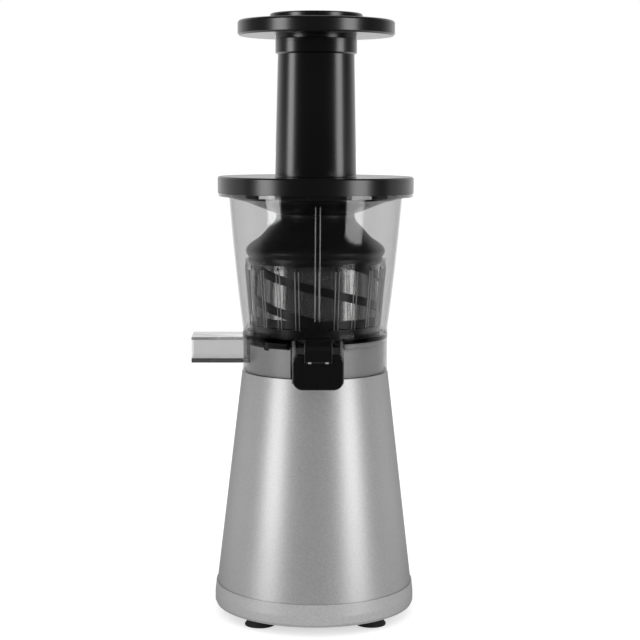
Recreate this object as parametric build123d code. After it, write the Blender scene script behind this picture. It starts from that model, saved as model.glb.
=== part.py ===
"""Vertical cold press juicer: tapered motor base, clear bowl with chute and spout, lid and pusher.

Millimetres, +Z up. The origin lies on the juicer's main axis, in the plane its feet stand on.
The juice spout points to -Y and the pulp chute to -X.
"""
from build123d import *
import math
import os

# ---------------------------------------------------------------- fits and clearances
run_fit = 0.05          # radial play of a shaft or journal in its bore
move_gap = 0.3          # play between curved faces that pass each other
lift_gap = 0.6          # play round a piece that is lifted out by hand
bed_gap = 0.4           # play under a piece that turns on a floor

# ---------------------------------------------------------------- feet and bottom cover
foot_height = 6.5
foot_flare_r = 10.7
foot_neck_r = 7.0
foot_stem_r = 4.0
foot_inset = 14.8
foot_cup_depth = 1.2
foot_count = 4
skirt_height = 16.5
skirt_step = 0.8
skirt_flare = 0.9
cover_wall = 2.5
cover_screw_inset = 9.5
cover_boss_r = 4.5
vent_width = 3.0
vent_length = 26.0
vent_pitch = 7.0
vent_count = 5

# ---------------------------------------------------------------- tapered housing
cone_height = 154.0
cone_low_r = 70.5
deck_proud = 0.15
housing_wall = 2.5
neck_floor_gap = 4.5
deck_rim = 6.0
bush_tube_r = 12.0
bush_tube_rise = 2.0

# ---------------------------------------------------------------- gear train in the base
pressure_angle = 20.0
addendum = 0.8
dedendum = 1.1
backlash = 0.12
module_a_share = 0.8333
motor_teeth = 14
wheel_a_teeth = 56
module_b_share = 0.9444
pinion_a_teeth = 14
wheel_b_teeth = 48
pinion_b_teeth = 16
output_teeth = 52
wheel_a_width = 6.0
wheel_b_width = 6.0
output_width = 8.0
arbor_a_r = 1.5
arbor_b_r = 2.0
case_wall = 2.0
case_floor = 3.0
case_play = 1.0
case_gap = 1.135
case_tip_room = 0.7
case_screw_inset = 6.7
case_boss_r = 3.6
wheel_a_angle = 152.7
case_screw_angles = (0.0, 110.0, 250.0)

# ---------------------------------------------------------------- motor
motor_r = 34.0
motor_wall = 2.0
motor_length = 60.0
motor_clear_floor = 24.0
end_bell_height = 4.0
rotor_shaft_r = 3.0
rotor_core_r = 22.0
rotor_core_length = 30.0
magnet_thickness = 6.5
magnet_span = 140.0
commutator_r = 10.0
commutator_length = 9.0
brush_width = 5.0
fan_r = 27.0
fan_blade_count = 9
fan_height = 7.0

# ---------------------------------------------------------------- drive shaft
drive_r = 6.5
drive_hex = 11.1
hex_length = 19.0
bushing_r = 9.5
seal_height = 3.5

# ---------------------------------------------------------------- bowl
bowl_skirt_height = 24.5
bowl_low_r = 52.25
bowl_top_r = 61.95
bowl_bulge = 0.6
bowl_floor = 2.0
bowl_wall = 2.2
bowl_straight = 4.5
bowl_height = 98.3
flange_width = 7.75
flange_height = 2.4
front_rib_width = 3.2
front_rib_depth = 0.8
front_rib_low = 14.0
front_rib_high = 5.0
bowl_boss_r = 10.0
bowl_boss_height = 10.6
bowl_boss_play = 0.9

# ---------------------------------------------------------------- pulp chute
chute_length = 35.95
chute_width = 32.8
chute_height = 18.4
chute_top_rise = 1.0
chute_wall = 2.0
chute_inner_x = 17.0
chute_slope_x = 40.0
chute_inner_drop = 7.5
pulp_hole_in_gap = 2.5
pulp_hole_out_gap = 1.7
pulp_hole_half_angle = 20.0
chimney_wall = 1.5

# ---------------------------------------------------------------- juice spout
spout_width = 35.2
spout_length = 24.25
spout_wall = 2.0
spout_tuck = 18.25
spout_bottom_rise = 1.0
spout_top_rise = 4.5
spout_nose_drop = 8.0
spout_shoulder = 7.75
juice_hole_width = 20.0
outlet_width = 27.0
outlet_low = 3.0
outlet_high = 3.5
baffle_height = 15.5
baffle_half_width = 12.0
baffle_thickness = 1.2

# ---------------------------------------------------------------- spout cap
cap_width = 34.6
cap_depth = 7.8
cap_below = 3.0
cap_height = 23.5
cap_low_corner_r = 7.0
cap_top_corner_r = 4.5
cap_edge_r = 1.4
cap_arm_width = 18.0
cap_arm_drop = 12.5
cap_arm_raise = 1.2
hinge_pin_r = 1.2
hinge_barrel_r = 2.6
hinge_ear_width = 2.4
hinge_back = 10.5
plug_depth = 2.6

# ---------------------------------------------------------------- bowl gears
ring_rim = 5.1
auger_teeth = 32
idler_teeth = 24
ring_teeth = 80
bowl_gear_width = 6.6
idler_pin_r = 2.5
post_r = 3.4
peg_r = 2.0

# ---------------------------------------------------------------- strainer
strainer_play = 0.1
strainer_wall = 1.9
strainer_plate = 2.2
strainer_ring_height = 5.4
mesh_inset = 0.9
mesh_thickness = 0.4
mesh_height = 38.0
band_count = 3
band_pitch = 69.0
band_height = 6.0
rim_step = 2.5
rim_height = 6.0
shoulder_step = 1.6
shoulder_rise = 9.5
bell_wall = 2.4
bell_neck_step = 3.0
bell_height = 28.4

# ---------------------------------------------------------------- brush cage
cage_gap = 3.15
cage_flare = 3.4
cage_thickness = 1.3
cage_top_ring = 5.6
cage_rib_count = 22
cage_rib_width = 2.6
wiper_count = 2
wiper_width = 9.0
wiper_thickness = 0.5

# ---------------------------------------------------------------- auger
auger_clearance = 0.6
auger_core_low_r = 32.0
auger_core_top_r = 11.0
auger_foot_r = 19.5
auger_top_rise = 4.0
flight_thickness_deg = 13.0
flight_count = 2
flight_pitch = 46.0
socket_r = 9.0
socket_play = 0.3
socket_height = 13.0

# ---------------------------------------------------------------- lid
lid_proud = 0.2
lid_height = 11.7
lid_wall = 2.5
lid_edge_r = 1.0
funnel_rim_width = 9.15
funnel_wall = 2.0
funnel_mouth_rise = 8.3
funnel_rim_rise = 2.2
tube_bore_r = 25.0
tube_wall = 2.05
tube_draft = 1.9
tube_height = 96.6
collar_step = 1.75
collar_height = 9.8
seal_width = 2.6

# ---------------------------------------------------------------- pusher
pusher_r = 55.5
pusher_thickness = 10.6
pusher_edge_r = 1.6
pusher_neck_height = 2.1
pusher_neck_step = 3.4
pusher_ring_r = 32.7
pusher_ring_height = 4.8
pusher_dish_r = 29.6
pusher_wall = 2.2
pusher_stem_length = 92.0
pusher_stem_play = 0.4

# ---------------------------------------------------------------- switch, gland and electronics
switch_height = 50.0
switch_width = 24.0
switch_tall = 30.0
switch_depth = 17.0
switch_flange = 2.5
rocker_gap = 0.4
rocker_rise = 2.6
rocker_tilt = 9.0
gland_height = 14.0
gland_turn = 24.0
gland_flange_r = 9.0
gland_neck_r = 6.0
gland_bore_r = 3.6
gland_tail = 14.0
board_inset = 24.5
board_thickness = 1.6
board_width = 44.0
board_height = 58.0
magnet_width = 8.0
magnet_depth = 6.0
plug_corner_r = 3.0
plug_wall_gap = 0.38
plug_side_gap = 1.9
plug_chute_gap = 6.6
plug_height = 5.5

# ---------------------------------------------------------------- radii and levels that follow
bowl_in_r = bowl_low_r - bowl_wall
cone_top_r = bowl_low_r + deck_proud
neck_r = bowl_in_r - lift_gap
deck_hole_r = neck_r - deck_rim
skirt_top_r = cone_low_r + skirt_step
skirt_r = skirt_top_r + skirt_flare
foot_circle_r = cone_low_r - foot_inset
cover_screw_circle_r = cone_low_r - cover_screw_inset
board_x = cone_low_r - board_inset

flange_r = bowl_top_r + flange_width
lid_r = flange_r + lid_proud
plug_r = bowl_top_r - bowl_wall - 1.0
funnel_r = plug_r - funnel_rim_width
tube_top_r = tube_bore_r + tube_wall
tube_low_r = tube_top_r + tube_draft
collar_r = tube_top_r + collar_step
bell_neck_r = tube_bore_r + bell_neck_step
pusher_neck_r = tube_bore_r + pusher_neck_step

chute_reach = bowl_low_r + chute_length
spout_reach = bowl_low_r + spout_length
spout_shoulder_y = bowl_low_r + spout_shoulder
spout_inner_y = bowl_low_r - spout_tuck

cage_low_r = bowl_in_r - cage_gap
cage_top_r = cage_low_r + cage_flare
ring_outer_r = cage_low_r - cage_thickness - 0.5
strainer_r = cage_low_r - cage_thickness - strainer_play
strainer_inner_r = strainer_r - strainer_wall
mesh_r = strainer_r - mesh_inset
rim_r = strainer_r + rim_step
shoulder_r = rim_r + shoulder_step

module_d = 2 * (ring_outer_r - ring_rim) / ring_teeth
auger_pitch_r = module_d * auger_teeth / 2
auger_tip_r = auger_pitch_r + addendum * module_d
ring_tip_r = module_d * ring_teeth / 2 - addendum * module_d
pulp_hole_in_r = auger_tip_r + pulp_hole_in_gap + chimney_wall
pulp_hole_out_r = ring_tip_r - pulp_hole_out_gap - chimney_wall

cover_floor_z = foot_height
skirt_top_z = foot_height + skirt_height
deck_z = skirt_top_z + cone_height
neck_top_z = deck_z + bowl_skirt_height - neck_floor_gap
bush_tube_top_z = neck_top_z + bush_tube_rise

motor_z = cover_floor_z + motor_clear_floor
motor_top_z = motor_z + motor_length
case_z = motor_top_z + case_wall
case_floor_z = case_z + case_floor
wheel_a_z = case_floor_z + 2.5
wheel_b_z = wheel_a_z + wheel_a_width + 1.5
output_z = wheel_b_z + wheel_b_width + 2.5
case_top_z = output_z + output_width + 1.5
case_lid_z = case_top_z + case_floor

floor_low_z = deck_z + bowl_skirt_height
floor_z = floor_low_z + bowl_floor
rim_z = floor_z + bowl_height
flange_top_z = rim_z + flange_height
boss_top_z = floor_z + bowl_boss_height
gear_z = floor_z + bed_gap
gear_top_z = gear_z + bowl_gear_width
plate_z = gear_top_z + 0.9
plate_top_z = plate_z + strainer_plate
mesh_z = plate_z + strainer_ring_height
mesh_top_z = mesh_z + mesh_height
bell_z = mesh_top_z + rim_height
bell_top_z = bell_z + bell_height

lid_z = flange_top_z
lid_top_z = lid_z + lid_height
tube_top_z = lid_top_z + tube_height
mouth_z = bell_top_z + move_gap
grip_z = tube_top_z + pusher_neck_height
grip_top_z = grip_z + pusher_thickness



def cone_r(z):
    """Outer radius of the tapered housing at height z."""
    return cone_low_r + (cone_top_r - cone_low_r) * (z - skirt_top_z) / cone_height


# the gearbox fills the housing, its gears fill the gearbox: modules, pitch radii, places of the axes
case_r = cone_r(case_lid_z) - housing_wall - case_gap
train_r = case_r - case_wall - case_play - case_tip_room
module_c = 2 * train_r / (pinion_b_teeth + output_teeth + module_b_share * wheel_b_teeth)
module_a = module_a_share * module_c
module_b = module_b_share * module_c
case_screw_circle_r = case_r - case_screw_inset
ra_motor = module_a * motor_teeth / 2
ra_wheel = module_a * wheel_a_teeth / 2
rb_pinion = module_b * pinion_a_teeth / 2
rb_wheel = module_b * wheel_b_teeth / 2
rc_pinion = module_c * pinion_b_teeth / 2
rc_output = module_c * output_teeth / 2
reach_a = ra_motor + ra_wheel
reach_b = rc_pinion + rc_output
side_ab = rb_pinion + rb_wheel
corner_cos = (reach_a ** 2 + reach_b ** 2 - side_ab ** 2) / (2 * reach_a * reach_b)
wheel_b_angle = wheel_a_angle + math.degrees(math.acos(max(-1.0, min(1.0, corner_cos))))
ax_a = reach_a * math.cos(math.radians(wheel_a_angle))
ay_a = reach_a * math.sin(math.radians(wheel_a_angle))
ax_b = reach_b * math.cos(math.radians(wheel_b_angle))
ay_b = reach_b * math.sin(math.radians(wheel_b_angle))
angle_ab = math.degrees(math.atan2(ay_b - ay_a, ax_b - ax_a))
idler_reach = module_d * (auger_teeth + idler_teeth) / 2


# ---------------------------------------------------------------- building blocks
def lathe(points):
    """Solid turned about Z from a closed list of (radius, height) points."""
    outline = Polyline(*[(r, 0, z) for r, z in points], close=True)
    return revolve(make_face(outline), Axis.Z)


def rod(radius, low, high, x=0.0, y=0.0):
    """Upright cylinder."""
    return Pos(x, y, (low + high) / 2) * Cylinder(radius, high - low)


def ring(outer, inner, low, high, x=0.0, y=0.0):
    """Upright tube."""
    return rod(outer, low, high, x, y) - rod(inner, low - 1, high + 1, x, y)


def slab(x0, x1, y0, y1, z0, z1):
    """Box between two corners."""
    middle = Pos((x0 + x1) / 2, (y0 + y1) / 2, (z0 + z1) / 2)
    return middle * Box(x1 - x0, y1 - y0, z1 - z0)


def around(shape, count, start=0.0):
    """The same shape repeated evenly about Z."""
    return [Rot(0, 0, start + 360.0 * i / count) * shape for i in range(count)]


def prism_x(points, half_width):
    """Solid from (y, z) points, as wide as twice half_width along X."""
    face = make_face(Polyline(*[(-half_width, y, z) for y, z in points], close=True))
    return extrude(face, amount=2 * half_width, dir=(1, 0, 0))


def prism_y(points, half_width):
    """Solid from (x, z) points, as wide as twice half_width along Y."""
    face = make_face(Polyline(*[(x, -half_width, z) for x, z in points], close=True))
    return extrude(face, amount=2 * half_width, dir=(0, 1, 0))


def sector(inner, outer, half_angle, low, high, middle=180.0):
    """Upright block between two radii and two angles about Z."""
    corners = []
    steps = 8
    for i in range(steps + 1):
        turn = math.radians(middle - half_angle + 2 * half_angle * i / steps)
        corners.append((outer * math.cos(turn), outer * math.sin(turn)))
    for i in range(steps, -1, -1):
        turn = math.radians(middle - half_angle + 2 * half_angle * i / steps)
        corners.append((inner * math.cos(turn), inner * math.sin(turn)))
    face = make_face(Polyline(*[(x, y, low) for x, y in corners], close=True))
    return extrude(face, amount=high - low, dir=(0, 0, 1))


def involute(angle):
    return math.tan(angle) - angle


def gear_points(teeth, module, tip_r, root_r, thickness, turn):
    """Outline of a gear: straight roots, involute flanks, tooth 0 centred on the turn angle."""
    pitch_r = module * teeth / 2
    base_r = pitch_r * math.cos(math.radians(pressure_angle))
    half = thickness / (2 * pitch_r) + involute(math.radians(pressure_angle))
    low_r = max(base_r, root_r)
    flank = []
    steps = 4
    for i in range(steps + 1):
        r = low_r + (tip_r - low_r) * i / steps
        flank.append((r, half - involute(math.acos(min(1.0, base_r / r)))))
    if root_r < low_r:
        flank.insert(0, (root_r, flank[0][1]))
    points = []
    for k in range(teeth):
        centre = math.radians(turn) + 2 * math.pi * k / teeth
        for r, a in flank:
            points.append((r * math.cos(centre - a), r * math.sin(centre - a)))
        for r, a in reversed(flank):
            points.append((r * math.cos(centre + a), r * math.sin(centre + a)))
    return points


def gear(teeth, module, low, high, x=0.0, y=0.0, turn=0.0):
    """Spur gear with stub teeth."""
    pitch_r = module * teeth / 2
    thickness = math.pi * module / 2 - backlash
    tip_r = pitch_r + addendum * module
    root_r = pitch_r - dedendum * module
    points = gear_points(teeth, module, tip_r, root_r, thickness, turn)
    face = make_face(Polyline(*[(px, py, low) for px, py in points], close=True))
    return Pos(x, y, 0) * extrude(face, amount=high - low, dir=(0, 0, 1))


def gear_space(teeth, module, low, high, turn=0.0):
    """What a ring gear leaves open inside its teeth."""
    pitch_r = module * teeth / 2
    thickness = math.pi * module / 2 + backlash
    tip_r = pitch_r + dedendum * module
    root_r = pitch_r - addendum * module
    points = gear_points(teeth, module, tip_r, root_r, thickness, turn)
    face = make_face(Polyline(*[(px, py, low) for px, py in points], close=True))
    return extrude(face, amount=high - low, dir=(0, 0, 1))


def hexagon(across, low, high, turn=0.0):
    """Upright hexagonal bar, sized across its flats."""
    r = across / math.sqrt(3)
    corners = [math.radians(turn + 60 * k) for k in range(6)]
    points = [(r * math.cos(a), r * math.sin(a), low) for a in corners]
    return extrude(make_face(Polyline(*points, close=True)), amount=high - low, dir=(0, 0, 1))


def screw(x, y, low, head_r, head_h, shank_r, length):
    """Pan-head screw driven upwards, with a cross recess in its head."""
    body = rod(head_r, low, low + head_h, x, y) + rod(shank_r, low + head_h, low + length, x, y)
    cross = slab(x - head_r * 0.6, x + head_r * 0.6, y - 0.4, y + 0.4, low, low + head_h * 0.5)
    cross += slab(x - 0.4, x + 0.4, y - head_r * 0.6, y + head_r * 0.6, low, low + head_h * 0.5)
    return body - cross


def polar(radius, angle):
    turn = math.radians(angle)
    return radius * math.cos(turn), radius * math.sin(turn)


def save(shape, name):
    """Write one node; several solids stay one group."""
    if isinstance(shape, (list, tuple)):
        shape = Compound(children=[s for s in shape])
    shape.label = name
    export_step(shape, "parts/" + name + ".step")


# ---------------------------------------------------------------- base: cover and feet
foot_angles = [45.0 + 360.0 * i / foot_count for i in range(foot_count)]
cover_screw_angles = [90.0 * i for i in range(4)]
cover_floor_top_z = cover_floor_z + cover_wall
board_rail_y = board_width / 2


def make_bottom_cover():
    """Shallow dish that closes the base, with air vents, screw posts and rails for the board."""
    body = lathe([
        (0, cover_floor_z), (skirt_r - 2.6, cover_floor_z), (skirt_r - 0.8, cover_floor_z + 0.6),
        (skirt_r, cover_floor_z + 2.4), (skirt_r, cover_floor_z + 8), (skirt_top_r, skirt_top_z),
        (skirt_top_r - cover_wall, skirt_top_z), (skirt_top_r - cover_wall, cover_floor_top_z),
        (0, cover_floor_top_z)])
    for angle in cover_screw_angles:
        x, y = polar(cover_screw_circle_r, angle)
        body += rod(cover_boss_r, cover_floor_z, skirt_top_z, x, y)
    for side in (-1, 1):
        y = side * (board_rail_y + 1.5)
        body += slab(board_x - 2, board_x + board_thickness + 2, y - 3, y + 3,
                     cover_floor_z, skirt_top_z)
    body -= slab(board_x, board_x + board_thickness, -board_rail_y, board_rail_y,
                 cover_floor_top_z, skirt_top_z + 1)
    for i in range(vent_count):
        y = (i - (vent_count - 1) / 2) * vent_pitch
        body -= slab(-vent_length / 2, vent_length / 2, y - vent_width / 2, y + vent_width / 2,
                     cover_floor_z - 1, cover_floor_top_z + 1)
    for angle in foot_angles:
        x, y = polar(foot_circle_r, angle)
        body -= rod(foot_stem_r, cover_floor_z - 1, cover_floor_top_z + 1, x, y)
    for angle in cover_screw_angles:
        x, y = polar(cover_screw_circle_r, angle)
        body -= rod(2.0, cover_floor_z - 1, skirt_top_z + 1, x, y)
        body -= rod(3.6, cover_floor_z - 1, cover_floor_z + 3, x, y)
    return body


def make_foot():
    """Flared rubber foot with a shallow cup below and a stem that buttons into the cover."""
    profile = lathe([
        (0, foot_cup_depth), (foot_flare_r - 3.0, foot_cup_depth), (foot_flare_r - 1.6, 0),
        (foot_flare_r, 0), (foot_flare_r, 0.8), (foot_neck_r + 1.0, foot_height - 2.2),
        (foot_neck_r, foot_height), (foot_stem_r, foot_height),
        (foot_stem_r, foot_height + cover_wall), (foot_stem_r + 1.0, foot_height + cover_wall),
        (foot_stem_r - 0.6, foot_height + cover_wall + 2.4), (0, foot_height + cover_wall + 2.4)])
    return profile


def make_cover_screws():
    screws = []
    for angle in cover_screw_angles:
        x, y = polar(cover_screw_circle_r, angle)
        screws.append(screw(x, y, cover_floor_z + 0.6, 3.4, 2.4, 2.0, 24.0))
    return screws


# ---------------------------------------------------------------- base: housing
def make_housing():
    """Tapered shell with a ring-shaped deck on top, bosses and columns inside."""
    top_in = cone_r(deck_z - housing_wall) - housing_wall
    low_in = cone_low_r - housing_wall
    outer = lathe([
        (0, skirt_top_z), (cone_low_r, skirt_top_z), (cone_top_r, deck_z), (0, deck_z)])
    inner = lathe([
        (0, skirt_top_z - 1), (low_in, skirt_top_z - 1), (low_in, skirt_top_z),
        (top_in, deck_z - housing_wall), (0, deck_z - housing_wall)])
    body = outer - inner
    # bosses for the cover screws, tied to the wall by a web
    for angle in cover_screw_angles:
        web = rod(cover_boss_r, skirt_top_z, skirt_top_z + 24, cover_screw_circle_r, 0)
        web += slab(cover_screw_circle_r, cone_low_r, -1.2, 1.2, skirt_top_z, skirt_top_z + 24)
        body += (Rot(0, 0, angle) * web) & outer
    # columns that the gearbox hangs from
    for angle in case_screw_angles:
        x, y = polar(case_screw_circle_r, angle)
        body += rod(case_boss_r, case_lid_z, deck_z - housing_wall / 2, x, y) & outer
    # holes for the seat, screws, switch and cord gland
    body -= rod(deck_hole_r, deck_z - housing_wall - 1, deck_z + 1)
    for angle in cover_screw_angles:
        x, y = polar(cover_screw_circle_r, angle)
        body -= rod(2.0, skirt_top_z - 1, skirt_top_z + 12, x, y)
    for angle in case_screw_angles:
        x, y = polar(case_screw_circle_r, angle)
        body -= rod(1.75, case_lid_z - 1, case_lid_z + 12, x, y)
    zs = skirt_top_z + switch_height
    body -= slab(-switch_width / 2, switch_width / 2, cone_top_r - 20, cone_low_r + 5,
                 zs - switch_tall / 2, zs + switch_tall / 2)
    zg = skirt_top_z + gland_height
    hole = Rot(0, 0, gland_turn) * Pos(0, cone_low_r - 5, zg) * Rot(90, 0, 0) * Cylinder(gland_neck_r, 30)
    body -= hole
    return body


def make_seat():
    """Neck on the deck that the bowl sits over, with pockets for chute, spout and plug."""
    outer = lathe([
        (0, deck_z - housing_wall), (deck_hole_r, deck_z - housing_wall), (deck_hole_r, deck_z),
        (neck_r, deck_z), (neck_r, neck_top_z), (0, neck_top_z)])
    body = outer - lathe([
        (0, deck_z - housing_wall - 1), (deck_hole_r, deck_z - housing_wall - 1),
        (deck_hole_r, deck_z + housing_wall), (neck_r - housing_wall, deck_z + housing_wall),
        (neck_r - housing_wall, neck_top_z - housing_wall), (0, neck_top_z - housing_wall)])
    chute_pocket_z = floor_low_z + chute_top_rise - chute_height - lift_gap
    chute_run = (chute_slope_x - chute_inner_x) / (chute_height - chute_top_rise - chute_inner_drop)
    chute_over = floor_low_z - chute_inner_drop - neck_top_z
    chute_in = chute_inner_x + max(chute_over * chute_run, 0.0) - 2 * lift_gap
    chute_half = chute_width / 2 + lift_gap
    chute_tub = slab(-neck_r - 8, -chute_in + housing_wall, -chute_half - housing_wall,
                     chute_half + housing_wall, chute_pocket_z - housing_wall, neck_top_z)
    spout_half = spout_width / 2 + lift_gap
    spout_in = spout_inner_y - lift_gap
    spout_tub = slab(-spout_half - housing_wall, spout_half + housing_wall, -neck_r - 8,
                     -spout_in + housing_wall, deck_z - housing_wall, neck_top_z)
    body += (chute_tub + spout_tub) & outer
    body -= slab(-cone_low_r, -chute_in, -chute_half, chute_half, chute_pocket_z, neck_top_z + 1)
    body -= slab(-spout_half, spout_half, -cone_low_r, -spout_in, deck_z, neck_top_z + 1)
    body -= plug_block(lift_gap)
    # tube for the upper bushing and the seal
    body += rod(bush_tube_r, deck_z - housing_wall, bush_tube_top_z)
    body -= rod(bushing_r, deck_z - housing_wall - 1, bush_tube_top_z + 1)
    return body


# ---------------------------------------------------------------- base: gearbox
def make_gearbox_case():
    """Round cup that holds the gear train, with three screw bosses in its wall."""
    body = rod(case_r, case_z, case_top_z) - rod(case_r - case_wall, case_floor_z, case_top_z + 1)
    for angle in case_screw_angles:
        x, y = polar(case_screw_circle_r, angle)
        body += rod(case_boss_r, case_z, case_top_z, x, y) & rod(case_r, case_z, case_top_z)
    body += rod(arbor_a_r + 2.5, case_z, wheel_a_z - 0.2, ax_a, ay_a)
    body += rod(arbor_b_r + 2.0, case_z, wheel_b_z - 0.2, ax_b, ay_b)
    body -= rod(arbor_a_r, case_z - 1, wheel_a_z + 1, ax_a, ay_a)
    body -= rod(arbor_b_r, case_z - 1, wheel_b_z + 1, ax_b, ay_b)
    body -= rod(rotor_shaft_r + 4.0, case_z - 1, case_floor_z + 1)
    for angle in case_screw_angles:
        x, y = polar(case_screw_circle_r, angle)
        body -= rod(1.75, case_z - 1, case_top_z + 1, x, y)
    for side in (-1, 1):
        body -= rod(1.5, case_z - 1, case_floor_z + 1, 0, side * 15.0)
    return body


def make_gearbox_lid():
    """Lid of the gearbox with the hub for the lower bushing."""
    body = rod(case_r, case_top_z, case_lid_z)
    body += rod(bushing_r + 3.0, case_top_z, case_lid_z + 12)
    body -= rod(bushing_r, case_top_z - 1, case_lid_z + 13)
    body -= rod(arbor_b_r, case_top_z - 1, case_lid_z + 1, ax_b, ay_b)
    for angle in case_screw_angles:
        x, y = polar(case_screw_circle_r, angle)
        body -= rod(1.75, case_top_z - 1, case_lid_z + 1, x, y)
    return body


def make_gearbox_screws():
    screws = []
    for angle in case_screw_angles:
        x, y = polar(case_screw_circle_r, angle)
        length = case_lid_z + 11.0 - case_z + 2.4
        screws.append(screw(x, y, case_z - 2.4, 3.2, 2.4, 1.75, length))
    return screws


def make_motor_screws():
    """Two screws from inside the gearbox into the end of the motor."""
    screws = []
    for side in (-1, 1):
        shank = rod(1.5, motor_top_z - motor_wall, case_floor_z, 0, side * 15.0)
        screws.append(shank + rod(2.8, case_floor_z, case_floor_z + 1.8, 0, side * 15.0))
    return screws


# ---------------------------------------------------------------- base: motor
def make_motor_can():
    """Drawn steel can, closed at the top, with a raised boss for the rotor bearing."""
    body = rod(motor_r, motor_z, motor_top_z)
    body -= rod(motor_r - motor_wall, motor_z - 1, motor_top_z - motor_wall)
    body += rod(rotor_shaft_r + 3.5, motor_top_z - 6, case_floor_z - 0.4)
    body -= rod(rotor_shaft_r + run_fit, motor_top_z - 8, case_floor_z + 1)
    for side in (-1, 1):
        body -= rod(1.5, motor_top_z - motor_wall - 1, motor_top_z + 1, 0, side * 15.0)
    body += ring(motor_r, motor_r - motor_wall - 1, motor_top_z, case_z)
    return body


def make_motor_end_bell():
    """Moulded end of the motor: lower rotor bearing, air openings and two brush boxes."""
    low = motor_z - end_bell_height
    body = rod(motor_r, low, motor_z)
    body -= ring(motor_r - 5, rotor_shaft_r + 12, low - 1, motor_z + 1)
    for angle in (45, 135, 225, 315):
        spoke = slab(rotor_shaft_r + 2, motor_r - 1, -2.5, 2.5, low, motor_z)
        body += Rot(0, 0, angle) * spoke
    body += rod(rotor_shaft_r + 3, low, motor_z + 4)
    body += ring(motor_r - motor_wall, motor_r - motor_wall - 3, motor_z, motor_z + 3)
    for side in (0, 180):
        box = slab(commutator_r + 3, motor_r - motor_wall - 1, -brush_width / 2 - 1.5,
                   brush_width / 2 + 1.5, motor_z - 2, motor_z + 14)
        hole = slab(commutator_r, motor_r - motor_wall - 3, -brush_width / 2, brush_width / 2,
                    motor_z + 6, motor_z + 12)
        web = slab(rotor_shaft_r + 2, commutator_r + 6, -2.5, 2.5, low, motor_z)
        body += Rot(0, 0, side) * (box + web)
        body -= Rot(0, 0, side) * hole
    body -= rod(rotor_shaft_r + run_fit, low - 1, motor_z + 6)
    return body


def make_motor_brushes():
    """Two carbon blocks that bear on the commutator."""
    block = slab(commutator_r + move_gap, motor_r - motor_wall - 3, -brush_width / 2,
                 brush_width / 2, motor_z + 6, motor_z + 12)
    return around(block, 2)


def make_motor_magnets():
    """Two arc magnets on the inside of the can."""
    outer = motor_r - motor_wall
    full = ring(outer, outer - magnet_thickness, motor_z + 18, motor_top_z - motor_wall - 4)
    wedge = 180.0 - magnet_span
    cut = sector(1.0, motor_r + 5, wedge / 2, motor_z, motor_top_z, 90.0)
    cut += sector(1.0, motor_r + 5, wedge / 2, motor_z, motor_top_z, 270.0)
    return full - cut


def make_rotor_shaft():
    body = rod(rotor_shaft_r, motor_z - end_bell_height - fan_height - 3, wheel_a_z + wheel_a_width + 0.6)
    return body


def make_motor_pinion():
    body = gear(motor_teeth, module_a, wheel_a_z - 0.8, wheel_a_z + wheel_a_width + 0.6,
                turn=wheel_a_angle)
    return body - rod(rotor_shaft_r, wheel_a_z - 2, wheel_a_z + wheel_a_width + 2)


def make_rotor_core():
    """Slotted core, with a winding pack at each end."""
    low = motor_z + 18.5
    core = rod(rotor_core_r, low, low + rotor_core_length)
    slot = slab(rotor_core_r - 7, rotor_core_r + 1, -1.4, 1.4, low - 1, low + rotor_core_length + 1)
    for piece in around(slot, 12):
        core -= piece
    return core - rod(rotor_shaft_r, low - 1, low + rotor_core_length + 1)


def make_rotor_windings():
    low = motor_z + 18.5
    packs = []
    for base_z in (low - 3.6, low + rotor_core_length):
        top = base_z + 3.6
        pack = lathe([(rotor_shaft_r + 1, base_z), (rotor_core_r - 3, base_z),
                      (rotor_core_r - 1.5, base_z + 1.2), (rotor_core_r - 1.5, top - 1.2),
                      (rotor_core_r - 3, top), (rotor_shaft_r + 1, top)])
        packs.append(pack)
    for angle in range(12):
        bar = slab(rotor_core_r - 7, rotor_core_r - 1.8, -1.4, 1.4, low, low + rotor_core_length)
        packs.append(Rot(0, 0, 30.0 * angle) * bar)
    joined = packs[0]
    for piece in packs[1:]:
        joined += piece
    return joined


def make_commutator():
    low = motor_z + 5
    body = ring(commutator_r, rotor_shaft_r, low, low + commutator_length)
    groove = slab(commutator_r - 1, commutator_r + 1, -0.3, 0.3, low - 1, low + commutator_length + 1)
    for piece in around(groove, 12):
        body -= piece
    return body


def make_fan():
    """Radial fan on the lower end of the rotor shaft."""
    low = motor_z - end_bell_height - fan_height - 2
    body = ring(fan_r, rotor_shaft_r, low, low + 1.5) + ring(8, rotor_shaft_r, low, low + fan_height)
    blade = slab(7, fan_r - 0.5, -0.7, 0.7, low, low + fan_height)
    for piece in around(blade, fan_blade_count):
        body += piece
    return body - rod(rotor_shaft_r, low - 1, low + fan_height + 1)


# ---------------------------------------------------------------- base: gears and drive
def make_stage_a():
    """First reduction: wheel and pinion in one, on a fixed arbor."""
    wheel_turn = wheel_a_angle + 180.0 + 180.0 / wheel_a_teeth
    body = gear(wheel_a_teeth, module_a, wheel_a_z, wheel_a_z + wheel_a_width, ax_a, ay_a, wheel_turn)
    body += gear(pinion_a_teeth, module_b, wheel_a_z + wheel_a_width - 0.1,
                 wheel_b_z + wheel_b_width + 1.0, ax_a, ay_a, angle_ab)
    return body - rod(arbor_a_r + run_fit, wheel_a_z - 1, output_z, ax_a, ay_a)


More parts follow.
